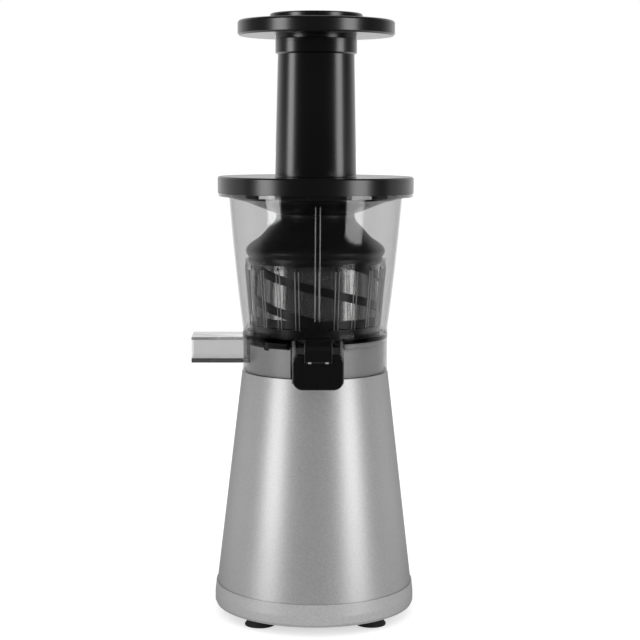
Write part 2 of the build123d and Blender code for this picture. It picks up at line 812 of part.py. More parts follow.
def make_stage_b():
    """Second reduction: wheel and pinion in one, on a fixed arbor."""
    wheel_turn = angle_ab + 180.0 + 180.0 / wheel_b_teeth
    body = gear(wheel_b_teeth, module_b, wheel_b_z, wheel_b_z + wheel_b_width, ax_b, ay_b, wheel_turn)
    body += gear(pinion_b_teeth, module_c, wheel_b_z + wheel_b_width - 0.1,
                 output_z + output_width + 0.6, ax_b, ay_b, wheel_b_angle + 180.0)
    return body - rod(arbor_b_r + run_fit, wheel_b_z - 1, case_top_z + 1, ax_b, ay_b)


def make_arbors():
    first = rod(arbor_a_r, case_z, output_z - 0.8, ax_a, ay_a)
    second = rod(arbor_b_r, case_z, case_lid_z, ax_b, ay_b)
    return [first, second]


def make_output_gear():
    turn = wheel_b_angle + 180.0 / output_teeth
    body = gear(output_teeth, module_c, output_z, output_z + output_width, turn=turn)
    body += ring(drive_r + 5, drive_r, output_z, case_top_z - 0.4)
    for piece in around(rod(4.0, output_z - 1, output_z + output_width + 1, rc_output * 0.68, 0), 6):
        body -= piece
    return body - rod(drive_r, output_z - 1, case_top_z)


hex_low_z = floor_z + 3.5


def make_drive_shaft():
    """Steel shaft with a hexagonal head that reaches up into the auger."""
    top = hex_low_z + hex_length
    body = rod(drive_r, output_z, hex_low_z) + hexagon(drive_hex, hex_low_z - 0.5, top - 1.0)
    body += hexagon(drive_hex, top - 1.0, top) & lathe([
        (0, top - 2), (drive_r, top - 2), (drive_r, top - 1.4), (drive_r - 1.4, top), (0, top)])
    return body


def make_bushings():
    lower = ring(bushing_r, drive_r + run_fit, case_top_z + 0.5, case_lid_z + 12)
    upper = ring(bushing_r, drive_r + run_fit, deck_z, bush_tube_top_z - seal_height - move_gap)
    return [lower, upper]


def make_shaft_seal():
    """Rubber lip seal round the shaft at the top of the neck."""
    return lathe([
        (drive_r + run_fit, bush_tube_top_z - seal_height), (bushing_r, bush_tube_top_z - seal_height),
        (bushing_r, bush_tube_top_z), (drive_r + 1.6, bush_tube_top_z),
        (drive_r + run_fit, bush_tube_top_z - 1.4)])


# ---------------------------------------------------------------- base: switch, gland, board
zs_mid = skirt_top_z + switch_height


def make_switch_frame():
    """Rectangular switch body with a flange that sits on the tapered wall at the back."""
    half_w = switch_width / 2
    half_t = switch_tall / 2
    face = cone_r(zs_mid - half_t) + switch_flange
    wall = lathe([(0, skirt_top_z), (cone_low_r, skirt_top_z), (cone_top_r, deck_z), (0, deck_z)])
    flange = slab(-half_w - 2, half_w + 2, cone_top_r, face, zs_mid - half_t - 2, zs_mid + half_t + 2)
    body = flange - wall
    body += slab(-half_w, half_w, face - switch_depth, face, zs_mid - half_t, zs_mid + half_t)
    window = slab(-half_w + 2.5, half_w - 2.5, face - 9.5, face + 1,
                  zs_mid - half_t + 2.5, zs_mid + half_t - 2.5)
    body -= window
    for side in (-1, 1):
        tab = slab(side * 5 - 2.4, side * 5 + 2.4, face - switch_depth - 7, face - switch_depth,
                   zs_mid - 0.4, zs_mid + 0.4)
        body += tab
    return body


def switch_face():
    return cone_r(zs_mid - switch_tall / 2) + switch_flange


def make_rocker():
    """Rocker with two wings and a trunnion along X."""
    half_w = switch_width / 2 - 2.5 - rocker_gap
    half_t = switch_tall / 2 - 2.5 - rocker_gap
    face = switch_face()
    lean = math.tan(math.radians(rocker_tilt)) * half_t
    points = [(face - 4.5, zs_mid - half_t + 1.6), (face + rocker_rise, zs_mid - half_t + 1.0),
              (face + rocker_rise - lean, zs_mid), (face + rocker_rise, zs_mid + half_t - 1.0),
              (face - 4.5, zs_mid + half_t - 1.6), (face - 6.5, zs_mid)]
    body = prism_x(points, half_w)
    for mark in (-1, 1):
        groove = slab(-half_w * 0.35, half_w * 0.35, face + rocker_rise - 0.5,
                      face + rocker_rise + 1, zs_mid + mark * half_t * 0.62 - 0.5,
                      zs_mid + mark * half_t * 0.62 + 0.5)
        body -= groove
    hole = Pos(0, face - 4.0, zs_mid) * Rot(0, 90, 0) * Cylinder(1.5 + run_fit, switch_width)
    return body - hole


def make_rocker_pin():
    face = switch_face()
    pin = Pos(0, face - 4.0, zs_mid) * Rot(0, 90, 0) * Cylinder(1.5, switch_width - 5)
    return pin


def make_gland():
    """Rubber sleeve where the cord enters the base, with a ribbed tail."""
    zg = skirt_top_z + gland_height
    wall = lathe([(0, skirt_top_z), (cone_low_r, skirt_top_z), (cone_top_r, deck_z), (0, deck_z)])
    face = cone_r(zg) + 2.0
    along = Rot(-90, 0, 0)
    flange = Pos(0, face - 4, zg) * along * Cylinder(gland_flange_r, 8)
    body = flange - wall
    tail = Cone(gland_neck_r, gland_neck_r - 1.2, gland_tail)
    body += Pos(0, face + gland_tail / 2, zg) * along * tail
    body += Pos(0, face - 6.5, zg) * along * Cylinder(gland_neck_r, 13)
    for k in range(3):
        cut = Cylinder(gland_neck_r + 2, 1.2) - Cylinder(gland_neck_r - 1.6, 1.2)
        body -= Pos(0, face + 3.0 + 3.6 * k, zg) * along * cut
    bore = Pos(0, face, zg) * along * Cylinder(gland_bore_r, 2 * gland_tail + 20)
    return Rot(0, 0, gland_turn) * (body - bore)


def make_board():
    z0 = cover_floor_top_z
    return slab(board_x, board_x + board_thickness, -board_width / 2, board_width / 2,
                z0, z0 + board_height)


def make_board_parts():
    """Capacitor, relay, bridge rectifier with its heat sink and a connector."""
    z0 = cover_floor_top_z
    face = board_x
    back = board_x + board_thickness
    cap = Pos(back + 7, -10, z0 + 30) * Cylinder(7, 24)
    relay = slab(back, back + 8, 4, 18, z0 + 18, z0 + 36)
    sink = slab(face - 5, face, -16, 16, z0 + 40, z0 + 54)
    fins = slab(face - 6, face - 1.4, -15, 15, z0 + 39, z0 + 55)
    for i in range(7):
        y = -13.2 + 4.4 * i
        sink -= slab(face - 6, face - 1.4, y - 1.4, y + 1.4, z0 + 39, z0 + 55) & fins
    plug = slab(back, back + 5, 6, 16, z0 + 40, z0 + 47)
    return [cap, relay, sink, plug]


def make_sensor():
    """Reed sensor inside the neck that answers to the bowl's magnet."""
    r = neck_r - housing_wall
    block = slab(-magnet_width / 2, magnet_width / 2, r - 7, r + 1, neck_top_z - housing_wall - 8,
                 neck_top_z - housing_wall)
    return block & rod(r, deck_z - 5, neck_top_z)


# ---------------------------------------------------------------- bowl
def bowl_curve_r(share):
    """Radius of the bowl's outer wall between its straight foot and its rim."""
    return bowl_low_r + (bowl_top_r - bowl_low_r) * share + 4 * bowl_bulge * share * (1 - share)


def bowl_outline(inset, low, high):
    """Points of the wall's curve, moved inwards by inset."""
    steps = 6
    foot = floor_z + bowl_straight
    points = [(bowl_low_r - inset, low)]
    for i in range(steps + 1):
        share = i / steps
        points.append((bowl_curve_r(share) - inset, foot + (rim_z - foot) * share))
    points.append((bowl_top_r - inset, high))
    return points


def turned_curve(points, low, high):
    """Solid of revolution whose outer wall runs smoothly through the points."""
    foot = [points[0], points[1]]
    curve = Spline(*[(r, 0, z) for r, z in points[1:-1]])
    edges = [Line((0, 0, low), (foot[0][0], 0, low)), Line((foot[0][0], 0, low), (foot[1][0], 0, foot[1][1]))]
    edges.append(curve)
    last = points[-2]
    top = points[-1]
    if abs(last[1] - high) > 1e-6:
        edges.append(Line((last[0], 0, last[1]), (top[0], 0, high)))
    edges.append(Line((top[0], 0, high), (0, 0, high)))
    edges.append(Line((0, 0, high), (0, 0, low)))
    return revolve(make_face(edges), Axis.Z)


def bowl_solid(inset, low, high):
    return turned_curve(bowl_outline(inset, low, high), low, high)


def chute_points(inset):
    """Side outline of the chute, or of the passage in it when inset is the wall."""
    top = floor_low_z + chute_top_rise
    low = top - chute_height
    inner_low = floor_low_z - chute_inner_drop
    if inset == 0:
        return [(-chute_inner_x, top), (-chute_inner_x, inner_low), (-chute_slope_x, low),
                (-chute_reach, low), (-chute_reach, top)]
    roof_out = top - inset * 0.7
    roof_in = top - inset * 1.5
    return [(-chute_inner_x - inset, roof_in), (-chute_inner_x - inset, inner_low + inset * 0.9),
            (-chute_slope_x - 0.3, low + inset * 1.2), (-chute_reach - 1, low + inset * 1.2),
            (-chute_reach - 1, roof_out), (-bowl_low_r, roof_in)]


spout_low_z = deck_z + spout_bottom_rise
spout_top_z = floor_low_z + spout_top_rise


def spout_points(inset):
    """Side outline of the spout, or of the passage in it when inset is the wall."""
    nose = spout_top_z - spout_nose_drop
    if inset == 0:
        return [(-spout_inner_y, spout_low_z), (-spout_reach, spout_low_z), (-spout_reach, nose),
                (-spout_reach + 2.0, nose + 2.0), (-spout_shoulder_y, spout_top_z - 1.0),
                (-spout_shoulder_y + 6, spout_top_z), (-bowl_low_r + 1.5, spout_top_z),
                (-bowl_low_r + 1.5, floor_low_z + 0.5), (-spout_inner_y, floor_low_z + 0.5)]
    return [(-spout_inner_y - inset, spout_low_z + inset),
            (-spout_reach + inset, spout_low_z + inset), (-spout_reach + inset, nose - 0.6),
            (-spout_shoulder_y, floor_low_z), (-spout_inner_y - inset, floor_low_z)]


outlet_low_z = spout_low_z + outlet_low
outlet_high_z = spout_top_z - spout_nose_drop - outlet_high
hinge_y = -(spout_reach - hinge_back)
hinge_roof_z = spout_top_z - 1.0 - (spout_nose_drop - 3.0) * (spout_reach - hinge_back - spout_shoulder_y) / (
    spout_reach - 2.0 - spout_shoulder_y)
hinge_z = hinge_roof_z + hinge_barrel_r + move_gap


def chute_block():
    return prism_y(chute_points(0), chute_width / 2)


def spout_block():
    return prism_x(spout_points(0), spout_width / 2)


def pulp_hole(low):
    """The slot that the pulp falls through, from the given level up past the strainer's plate."""
    return sector(pulp_hole_in_r, pulp_hole_out_r, pulp_hole_half_angle, low, plate_z + 1)


def make_bowl():
    """Clear bowl: wall, floor, skirt, rim flange, centre boss, posts and the walls of the pulp well."""
    body = bowl_solid(0, deck_z, rim_z)
    body += rod(flange_r, rim_z, flange_top_z)
    rib = slab(-front_rib_width / 2, front_rib_width / 2, -bowl_top_r - 5, -bowl_low_r + 3,
               floor_z + front_rib_low, rim_z - front_rib_high)
    body += rib & bowl_solid(-front_rib_depth, deck_z, rim_z)
    # the hollow above the floor, the hollow below it and the windows for chute and spout
    body -= bowl_solid(bowl_wall, floor_z, flange_top_z + 1)
    body -= rod(bowl_in_r, deck_z - 1, floor_low_z)
    body -= (chute_block() + spout_block()) & rod(chute_reach + spout_reach, deck_z, floor_low_z)
    # centre boss, posts and the walls of the pulp well, standing on the floor
    body += rod(bowl_boss_r, floor_low_z, boss_top_z)
    body -= rod(drive_r + bowl_boss_play, floor_low_z - 1, boss_top_z + 1)
    for angle in (120.0, 240.0):
        x, y = polar(idler_reach, angle)
        body += rod(post_r, floor_z - 0.5, plate_z, x, y) + rod(peg_r, plate_z - 0.5, plate_top_z, x, y)
    x, y = polar(idler_reach, 0.0)
    body -= rod(idler_pin_r, floor_low_z - 1, floor_z + 1, x, y)
    wide = math.degrees(chimney_wall / pulp_hole_in_r)
    body += sector(pulp_hole_in_r - chimney_wall, pulp_hole_out_r + chimney_wall,
                   pulp_hole_half_angle + wide, floor_z - 0.5, plate_z - move_gap)
    body -= pulp_hole(floor_low_z - 1)
    return body - juice_hole()


def juice_hole():
    return slab(-juice_hole_width / 2, juice_hole_width / 2, -bowl_in_r + 0.6, -bowl_in_r + 6.0,
                floor_low_z - 1, floor_z + 1)


def make_ducts():
    """Chute and spout, moulded on under the bowl's floor and out through its skirt."""
    inside = bowl_solid(0, floor_low_z, rim_z)
    chute = chute_block() - inside - prism_y(chute_points(chute_wall), chute_width / 2 - chute_wall)
    chute -= pulp_hole(floor_low_z - 4)
    ear = Pos(0, hinge_y, hinge_z) * Rot(0, 90, 0) * Cylinder(hinge_barrel_r, hinge_ear_width)
    ear += slab(-hinge_ear_width / 2, hinge_ear_width / 2, hinge_y - hinge_barrel_r,
                hinge_y + hinge_barrel_r, hinge_roof_z - 1.5, hinge_z)
    ear_x = cap_arm_width / 2 + move_gap + hinge_ear_width / 2
    spout = spout_block() - inside + (Pos(ear_x, 0, 0) * ear) + (Pos(-ear_x, 0, 0) * ear)
    spout -= prism_x(spout_points(spout_wall), spout_width / 2 - spout_wall)
    spout -= slab(-outlet_width / 2, outlet_width / 2, -spout_reach - 1, -spout_reach + spout_wall + 1,
                  outlet_low_z, outlet_high_z)
    spout -= Pos(0, hinge_y, hinge_z) * Rot(0, 90, 0) * Cylinder(hinge_pin_r, spout_width + 10)
    return [chute, spout]


def make_hinge_pin():
    length = cap_arm_width + 2 * move_gap + 2 * hinge_ear_width
    return Pos(0, hinge_y, hinge_z) * Rot(0, 90, 0) * Cylinder(hinge_pin_r, length)


def make_bowl_seal():
    """Rubber ring in the foot of the bowl's centre boss."""
    outer = drive_r + bowl_boss_play
    return lathe([(drive_r + run_fit, floor_low_z), (outer, floor_low_z), (outer, floor_low_z + 4.5),
                  (drive_r + run_fit + 0.4, floor_low_z + 4.5), (drive_r + run_fit, floor_low_z + 3.0)])


def make_outlet_baffle():
    """Arched dark skin on the inside of the wall, above the juice outlet."""
    skin = bowl_solid(bowl_wall, floor_z, rim_z) - bowl_solid(bowl_wall + baffle_thickness, floor_z - 1, rim_z)
    half = baffle_half_width
    top = baffle_height
    points = [(-half, 0), (-half * 0.72, top * 0.3), (-half * 0.52, top * 0.68), (-half * 0.3, top * 0.92),
              (0, top), (half * 0.3, top * 0.92), (half * 0.52, top * 0.68), (half * 0.72, top * 0.3), (half, 0)]
    arch = make_face(Polyline(*[(x, -bowl_top_r - 10, floor_z + z) for x, z in points], close=True))
    return skin & extrude(arch, amount=bowl_top_r, dir=(0, 1, 0))


def plug_block(play):
    """Corner block between chute and spout, grown by the play round it."""
    far = (bowl_in_r - plug_wall_gap - plug_corner_r) / math.sqrt(2) + plug_corner_r + play
    near_x = spout_width / 2 + plug_side_gap - play
    near_y = chute_width / 2 + plug_chute_gap - play
    return slab(-far, -near_x, -far, -near_y, floor_low_z - plug_height - play, floor_low_z)


def make_pulp_plug():
    """Silicone plug under the floor, beside the chute."""
    block = plug_block(0.0)
    block = fillet(block.edges().filter_by(Axis.Z), plug_corner_r)
    return fillet(block.faces().sort_by(Axis.Z)[0].edges(), 1.6)


def make_interlock_magnet():
    r = bowl_in_r
    block = slab(-magnet_width / 2, magnet_width / 2, r - magnet_depth, r + 2,
                 neck_top_z + lift_gap, floor_low_z)
    return block & rod(r, deck_z, floor_low_z)


def make_idler_pin():
    x, y = polar(idler_reach, 0.0)
    return rod(idler_pin_r, floor_low_z, gear_top_z + 0.6, x, y)


# ---------------------------------------------------------------- bowl: gears
idler_turn = 180.0 + 180.0 / idler_teeth
idler_share = ((0.0 - idler_turn) / (360.0 / idler_teeth)) % 1.0
ring_turn = -idler_share * 360.0 / ring_teeth


def make_idler():
    x, y = polar(idler_reach, 0.0)
    body = gear(idler_teeth, module_d, gear_z, gear_top_z, x, y, idler_turn)
    return body - rod(idler_pin_r + run_fit, gear_z - 1, gear_top_z + 1, x, y)


def cage_r(z):
    low = gear_z
    high = mesh_top_z
    return cage_low_r + (cage_top_r - cage_low_r) * (z - low) / (high - low)


cage_top_z = mesh_top_z + 2.2


def make_ring_gear():
    body = rod(ring_outer_r, gear_z, gear_top_z)
    return body - gear_space(ring_teeth, module_d, gear_z - 1, gear_top_z + 1, ring_turn)


def make_cage():
    """Clear cage with slim bars that turns round the strainer."""
    shell = lathe([
        (ring_outer_r, gear_z), (cage_r(gear_z), gear_z), (cage_r(cage_top_z), cage_top_z),
        (cage_r(cage_top_z) - cage_thickness, cage_top_z),
        (cage_r(gear_top_z) - cage_thickness, gear_top_z), (ring_outer_r, gear_top_z)])
    low = gear_top_z
    high = cage_top_z - cage_top_ring
    bars = rod(cage_top_r + 5, low - 20, low)
    bars += rod(cage_top_r + 5, high, high + 20)
    for piece in around(slab(0, cage_top_r + 5, -cage_rib_width / 2, cage_rib_width / 2, low - 1, high + 1),
                        cage_rib_count, 180.0 / cage_rib_count):
        bars += piece
    body = shell & bars
    for piece in around(slab(cage_low_r - 5, cage_top_r + 5, -0.6, 0.6, high + 0.6, high + 2.6),
                        cage_rib_count, 180.0 / cage_rib_count):
        body -= piece
    return body


def make_wipers():
    """Soft blades held by the cage, one on each side."""
    skin = lathe([
        (cage_r(gear_top_z) - cage_thickness, gear_top_z),
        (cage_r(cage_top_z) - cage_thickness, cage_top_z),
        (cage_r(cage_top_z) - cage_thickness - wiper_thickness, cage_top_z),
        (cage_r(gear_top_z) - cage_thickness - wiper_thickness, gear_top_z)])
    low = mesh_z + 1
    high = mesh_top_z - 5
    blades = []
    for piece in around(slab(20, cage_top_r + 5, -wiper_width / 2, wiper_width / 2, low, high), wiper_count,
                        180.0 / cage_rib_count):
        blades.append(skin & piece)
    return blades


# ---------------------------------------------------------------- strainer
def bell_points(inset):
    """Outer or inner line of the strainer's bell, from its rim up to its neck."""
    neck = bell_neck_r - inset
    shoulder = shoulder_r - inset
    low = mesh_top_z
    return [(rim_r - inset, bell_z - 1.5), (shoulder, low + shoulder_rise),
            (shoulder - 3.2, low + shoulder_rise + 4.0 - inset * 0.5),
            (shoulder - 9.8, low + shoulder_rise + 8.6 - inset * 0.6),
            (neck + 5.4, low + shoulder_rise + 15.6 - inset * 0.5),
            (neck + 1.2, low + shoulder_rise + 20.2 - inset * 0.3), (neck, bell_top_z)]


def bell_solid(inset, low_r, low, high):
    points = bell_points(inset)
    curve = Spline(*[(r, 0, z) for r, z in points])
    start = points[0]
    end = points[-1]
    edges = [Line((0, 0, low), (low_r, 0, low)), Line((low_r, 0, low), (start[0], 0, start[1])), curve]
    if abs(end[1] - high) > 1e-6:
        edges.append(Line((end[0], 0, end[1]), (end[0], 0, high)))
    edges.append(Line((end[0], 0, high), (0, 0, high)))
    edges.append(Line((0, 0, high), (0, 0, low)))
    return revolve(make_face(edges), Axis.Z)


def make_helix_bands():
    """Three raised bands that wind round the mesh."""
    span = 360.0 * band_height / band_pitch
    turn = -360.0 * (mesh_height + 0.4) / band_pitch
    bands = []
    for i in range(band_count):
        start = 360.0 * i / band_count + 8.0
        inner = mesh_r
        outer = strainer_r - 0.1
        a0 = math.radians(start)
        a1 = math.radians(start + span / 2)
        a2 = math.radians(start + span)
        z = mesh_z - 0.2
        face = make_face([
            ThreePointArc((outer * math.cos(a0), outer * math.sin(a0), z),
                          (outer * math.cos(a1), outer * math.sin(a1), z),
                          (outer * math.cos(a2), outer * math.sin(a2), z)),
            Line((outer * math.cos(a2), outer * math.sin(a2), z), (inner * math.cos(a2), inner * math.sin(a2), z)),
            ThreePointArc((inner * math.cos(a2), inner * math.sin(a2), z),
                          (inner * math.cos(a1), inner * math.sin(a1), z),
                          (inner * math.cos(a0), inner * math.sin(a0), z)),
            Line((inner * math.cos(a0), inner * math.sin(a0), z), (outer * math.cos(a0), outer * math.sin(a0), z))])
        band = Solid.extrude_linear_with_rotation(face.faces()[0], (0, 0, z), (0, 0, mesh_height + 0.4), turn)
        bands.append(band)
    return bands


def make_strainer_frame():
    """Bell of the strainer, with the bands that wind round its mesh."""
    bell = bell_solid(0, rim_r, mesh_top_z, bell_top_z)
    bell -= bell_solid(bell_wall, strainer_inner_r, mesh_top_z - 1, bell_top_z + 1)
    for band in make_helix_bands():
        bell += band
    return bell


def make_strainer_foot():
    """Foot ring and bottom plate of the strainer, with the way out for the pulp."""
    plate = rod(strainer_r, plate_z, plate_top_z) - rod(auger_tip_r + 1.0, plate_z - 1, plate_top_z + 1)
    plate -= sector(auger_tip_r, pulp_hole_out_r, pulp_hole_half_angle, plate_z - 1, plate_top_z + 1)
    for angle in (120.0, 240.0):
        x, y = polar(idler_reach, angle)
        plate -= rod(peg_r + 0.1, plate_z - 1, plate_top_z + 1, x, y)
    body = ring(strainer_r, strainer_inner_r, plate_z, mesh_z) + plate
    for band in make_helix_bands():
        body -= band
    return body


def make_mesh():
    """Perforated steel drum of the strainer, without its fine holes."""
    return ring(mesh_r, mesh_r - mesh_thickness, mesh_z, mesh_top_z)


# ---------------------------------------------------------------- auger
auger_low_z = boss_top_z + bed_gap
auger_foot_z = plate_top_z + 0.6
auger_top_z = bell_top_z + auger_top_rise


def auger_envelope():
    """Everything the flights may fill inside the strainer."""
    r = strainer_inner_r - auger_clearance
    points = bell_points(bell_wall + auger_clearance)
    low = auger_foot_z
    curve = Spline(*[(pr, 0, pz) for pr, pz in points])
    end = points[-1]
    start = points[0]
    edges = [Line((0, 0, low), (r, 0, low)), Line((r, 0, low), (r, 0, mesh_top_z)),
             Line((r, 0, mesh_top_z), (start[0], 0, start[1])), curve,
             Line((end[0], 0, end[1]), (0, 0, end[1])), Line((0, 0, end[1]), (0, 0, low))]
    return revolve(make_face(edges), Axis.Z)


def make_auger():
    """Squeezing screw: waisted core, helical flights, hub with the bore for boss and socket."""
    low = auger_foot_z
    core = lathe([
        (0, low), (auger_foot_r, low), (auger_core_low_r - 3, low + 7), (auger_core_low_r, low + 12),
        (auger_core_low_r - 3, mesh_top_z), (auger_core_top_r + 4, bell_top_z - 8),
        (auger_core_top_r, auger_top_z - 3), (auger_core_top_r - 3, auger_top_z), (0, auger_top_z)])
    # the seams of the turned solids lie between the flights
    body = Rot(0, 0, 17) * core
    envelope = Rot(0, 0, 17) * auger_envelope()
    height = bell_top_z - low + 2
    turn = 360.0 * height / flight_pitch
    reach = shoulder_r + 4
    half = flight_thickness_deg / 2
    for i in range(flight_count):
        middle = 31.0 + 360.0 * i / flight_count
        x0, y0 = polar(5.0, middle - 40)
        x1, y1 = polar(reach, middle - half)
        x2, y2 = polar(reach, middle + half)
        x3, y3 = polar(5.0, middle + 40)
        z = low - 1
        face = make_face(Polyline((x0, y0, z), (x1, y1, z), (x2, y2, z), (x3, y3, z), close=True))
        fin = Solid.extrude_linear_with_rotation(face.faces()[0], (0, 0, z), (0, 0, height), turn)
        body += fin & envelope
    hub_r = auger_pitch_r - dedendum * module_d - 2.0
    body += rod(hub_r, gear_z, low + 1)
    body -= rod(bowl_boss_r + run_fit, gear_z - 1, auger_low_z)
    body -= rod(socket_r, auger_low_z - 1, auger_low_z + socket_height)
    return body


def make_auger_gear():
    hub_r = auger_pitch_r - dedendum * module_d - 2.0
    body = gear(auger_teeth, module_d, gear_z, gear_top_z, turn=0.0)
    return body - rod(hub_r, gear_z - 1, gear_top_z + 1)


def make_auger_socket():
    """Steel insert with the hexagonal hole that the drive shaft turns."""
    body = rod(socket_r, auger_low_z, auger_low_z + socket_height)
    return body - hexagon(drive_hex + 2 * socket_play, auger_low_z - 1, auger_low_z + socket_height + 1)


# ---------------------------------------------------------------- spout cap
cap_back_y = -(spout_reach + 0.9)
cap_front_y = cap_back_y - cap_depth
cap_low_z = spout_low_z - cap_below
cap_high_z = cap_low_z + cap_height


def make_cap():
    """Cap over the spout's mouth, with an arm that reaches back over the spout to its hinge."""
    half = cap_width / 2
    plate = slab(-half, half, cap_front_y, cap_back_y, cap_low_z, cap_high_z)
    upright = plate.edges().filter_by(Axis.Y)
    low_edges = upright.sort_by(Axis.Z)[:2]
    plate = fillet(low_edges, cap_low_corner_r)
    upright = plate.edges().filter_by(Axis.Y).sort_by(Axis.Z)[-2:]
    plate = fillet(upright, cap_top_corner_r)
    front = plate.faces().sort_by(Axis.Y)[0]
    plate = fillet(front.edges(), cap_edge_r)
    top = hinge_z + hinge_barrel_r
    face_y = cap_front_y - cap_arm_raise
    low = cap_high_z + 2.0 - cap_arm_drop + 5.0
    points = [(hinge_y, top), (cap_front_y + 4.0, top - 0.6), (face_y + 0.6, top - 3.6),
              (face_y, top - 6.5), (face_y, low + 1.6), (face_y + 1.4, low), (cap_back_y - 0.4, low),
              (cap_back_y - 0.4, cap_high_z - 0.5), (hinge_y - hinge_barrel_r - 0.6, hinge_z - 0.3),
              (hinge_y, hinge_z)]
    arm = prism_x(points, cap_arm_width / 2)
    barrel = Pos(0, hinge_y, hinge_z) * Rot(0, 90, 0) * Cylinder(hinge_barrel_r, cap_arm_width)
    body = plate + arm + barrel
    body -= Pos(0, hinge_y, hinge_z) * Rot(0, 90, 0) * Cylinder(hinge_pin_r + run_fit, cap_width + 4)
    body -= slab(-half + 2.2, half - 2.2, cap_back_y - 2.0, cap_back_y + 1, cap_low_z + 3.4,
                 cap_high_z - 3.4)
    return body


def make_cap_seal():
    """Silicone pad in the cap, with a block that enters the outlet."""
    half = cap_width / 2 - 2.2
    pad = slab(-half, half, cap_back_y - 2.0, cap_back_y + 0.5, cap_low_z + 3.4, cap_high_z - 3.4)
    width = outlet_width / 2 - 1.2
    block = slab(-width, width, cap_back_y, cap_back_y + 0.9 + plug_depth, outlet_low_z + 0.6,
                 outlet_high_z - 3.6)
    return pad + block


# ---------------------------------------------------------------- lid
tube_foot_r = bell_neck_r - 1.0


def make_lid():
    """Disc with a hanging rim and ribs below, bored for the feed tube."""
    inner_top = lid_top_z - lid_wall
    body = lathe([
        (tube_foot_r, inner_top), (lid_r - lid_wall, inner_top), (lid_r - lid_wall, lid_z), (lid_r, lid_z),
        (lid_r, lid_top_z - lid_edge_r), (lid_r - lid_edge_r, lid_top_z), (tube_foot_r, lid_top_z)])
    rib = slab(tube_foot_r, plug_r - funnel_wall - 1.5, -0.9, 0.9, inner_top - 4, inner_top + 0.5)
    for piece in around(rib, 8, 22.5):
        body += piece & ring(plug_r, tube_foot_r, inner_top - 4, inner_top + 0.5)
    return body


def make_feed_tube():
    """Slightly tapered tube through the lid, flared at its foot and with a collar at its mouth."""
    collar_z = tube_top_z - collar_height
    return lathe([
        (tube_bore_r, mouth_z), (tube_foot_r, mouth_z), (tube_foot_r, lid_top_z),
        (tube_low_r + 0.8, lid_top_z), (tube_low_r + 0.2, lid_top_z + 0.4), (tube_low_r, lid_top_z + 1.2),
        (tube_top_r, collar_z - 1.2), (collar_r, collar_z), (collar_r, tube_top_z - 0.4),
        (collar_r - 0.4, tube_top_z), (tube_bore_r, tube_top_z)])


def make_lid_funnel():
    """Funnel and plug below the lid, reaching down into the bowl."""
    inner_top = lid_top_z - lid_wall
    body = lathe([
        (tube_foot_r, mouth_z), (bell_neck_r, mouth_z), (funnel_r, mouth_z + funnel_mouth_rise),
        (plug_r, mouth_z + funnel_mouth_rise + funnel_rim_rise), (plug_r, inner_top),
        (plug_r - funnel_wall, inner_top),
        (plug_r - funnel_wall, mouth_z + funnel_mouth_rise + funnel_rim_rise + 1.6),
        (funnel_r - 0.7, mouth_z + funnel_mouth_rise + funnel_wall),
        (bell_neck_r + 1.2, mouth_z + funnel_wall + 0.8), (tube_foot_r, mouth_z + funnel_wall + 0.8)])
    return body - ring(plug_r + 1, plug_r - 0.8, lid_z - seal_width - 0.6, lid_z - 0.6)


def make_lid_seal():
    outer = bowl_top_r - bowl_wall - move_gap
    low = lid_z - seal_width - 0.6
    return lathe([(plug_r - 0.8, low), (outer - 0.5, low), (outer, low + seal_width * 0.5),
                  (outer - 0.5, low + seal_width), (plug_r - 0.8, low + seal_width)])


# ---------------------------------------------------------------- pusher
def make_pusher_grip():
    """Broad disc with a raised ring and a shallow dish on top."""
    r = pusher_r
    top = grip_top_z
    body = lathe([
        (0, top - pusher_wall), (pusher_dish_r - 1.0, top - pusher_wall), (pusher_dish_r, top),
        (pusher_dish_r + 0.6, top + pusher_ring_height - 0.4), (pusher_dish_r + 1.0, top + pusher_ring_height),
        (pusher_ring_r - 0.8, top + pusher_ring_height), (pusher_ring_r, top + pusher_ring_height - 0.8),
        (pusher_ring_r, top), (r - pusher_edge_r, top), (r - pusher_edge_r * 0.35, top - pusher_edge_r * 0.35),
        (r, top - pusher_edge_r), (r, grip_z + pusher_edge_r * 0.8), (r - pusher_edge_r * 0.8, grip_z),
        (r - pusher_wall, grip_z), (r - pusher_wall, top - pusher_wall * 2), (0, top - pusher_wall * 2)])
    return body


def make_pusher_plate():
    """Ring that closes the underside of the grip, with the collar that stops on the tube's mouth."""
    stem_r = tube_bore_r - pusher_stem_play
    return lathe([
        (stem_r, tube_top_z), (pusher_neck_r, tube_top_z), (pusher_neck_r, grip_z),
        (pusher_r - pusher_wall, grip_z), (pusher_r - pusher_wall, grip_z + pusher_wall),
        (stem_r, grip_z + pusher_wall)])


def make_pusher_stem():
    """Closed-ended tube that fills the feed tube."""
    stem_r = tube_bore_r - pusher_stem_play
    low = tube_top_z - pusher_stem_length
    top = grip_z + pusher_wall
    return lathe([
        (0, low), (stem_r - 2.0, low), (stem_r, low + 2.0), (stem_r, top), (stem_r - pusher_wall, top),
        (stem_r - pusher_wall, low + pusher_wall), (0, low + pusher_wall)])


# ---------------------------------------------------------------- write every node
os.makedirs("parts", exist_ok=True)

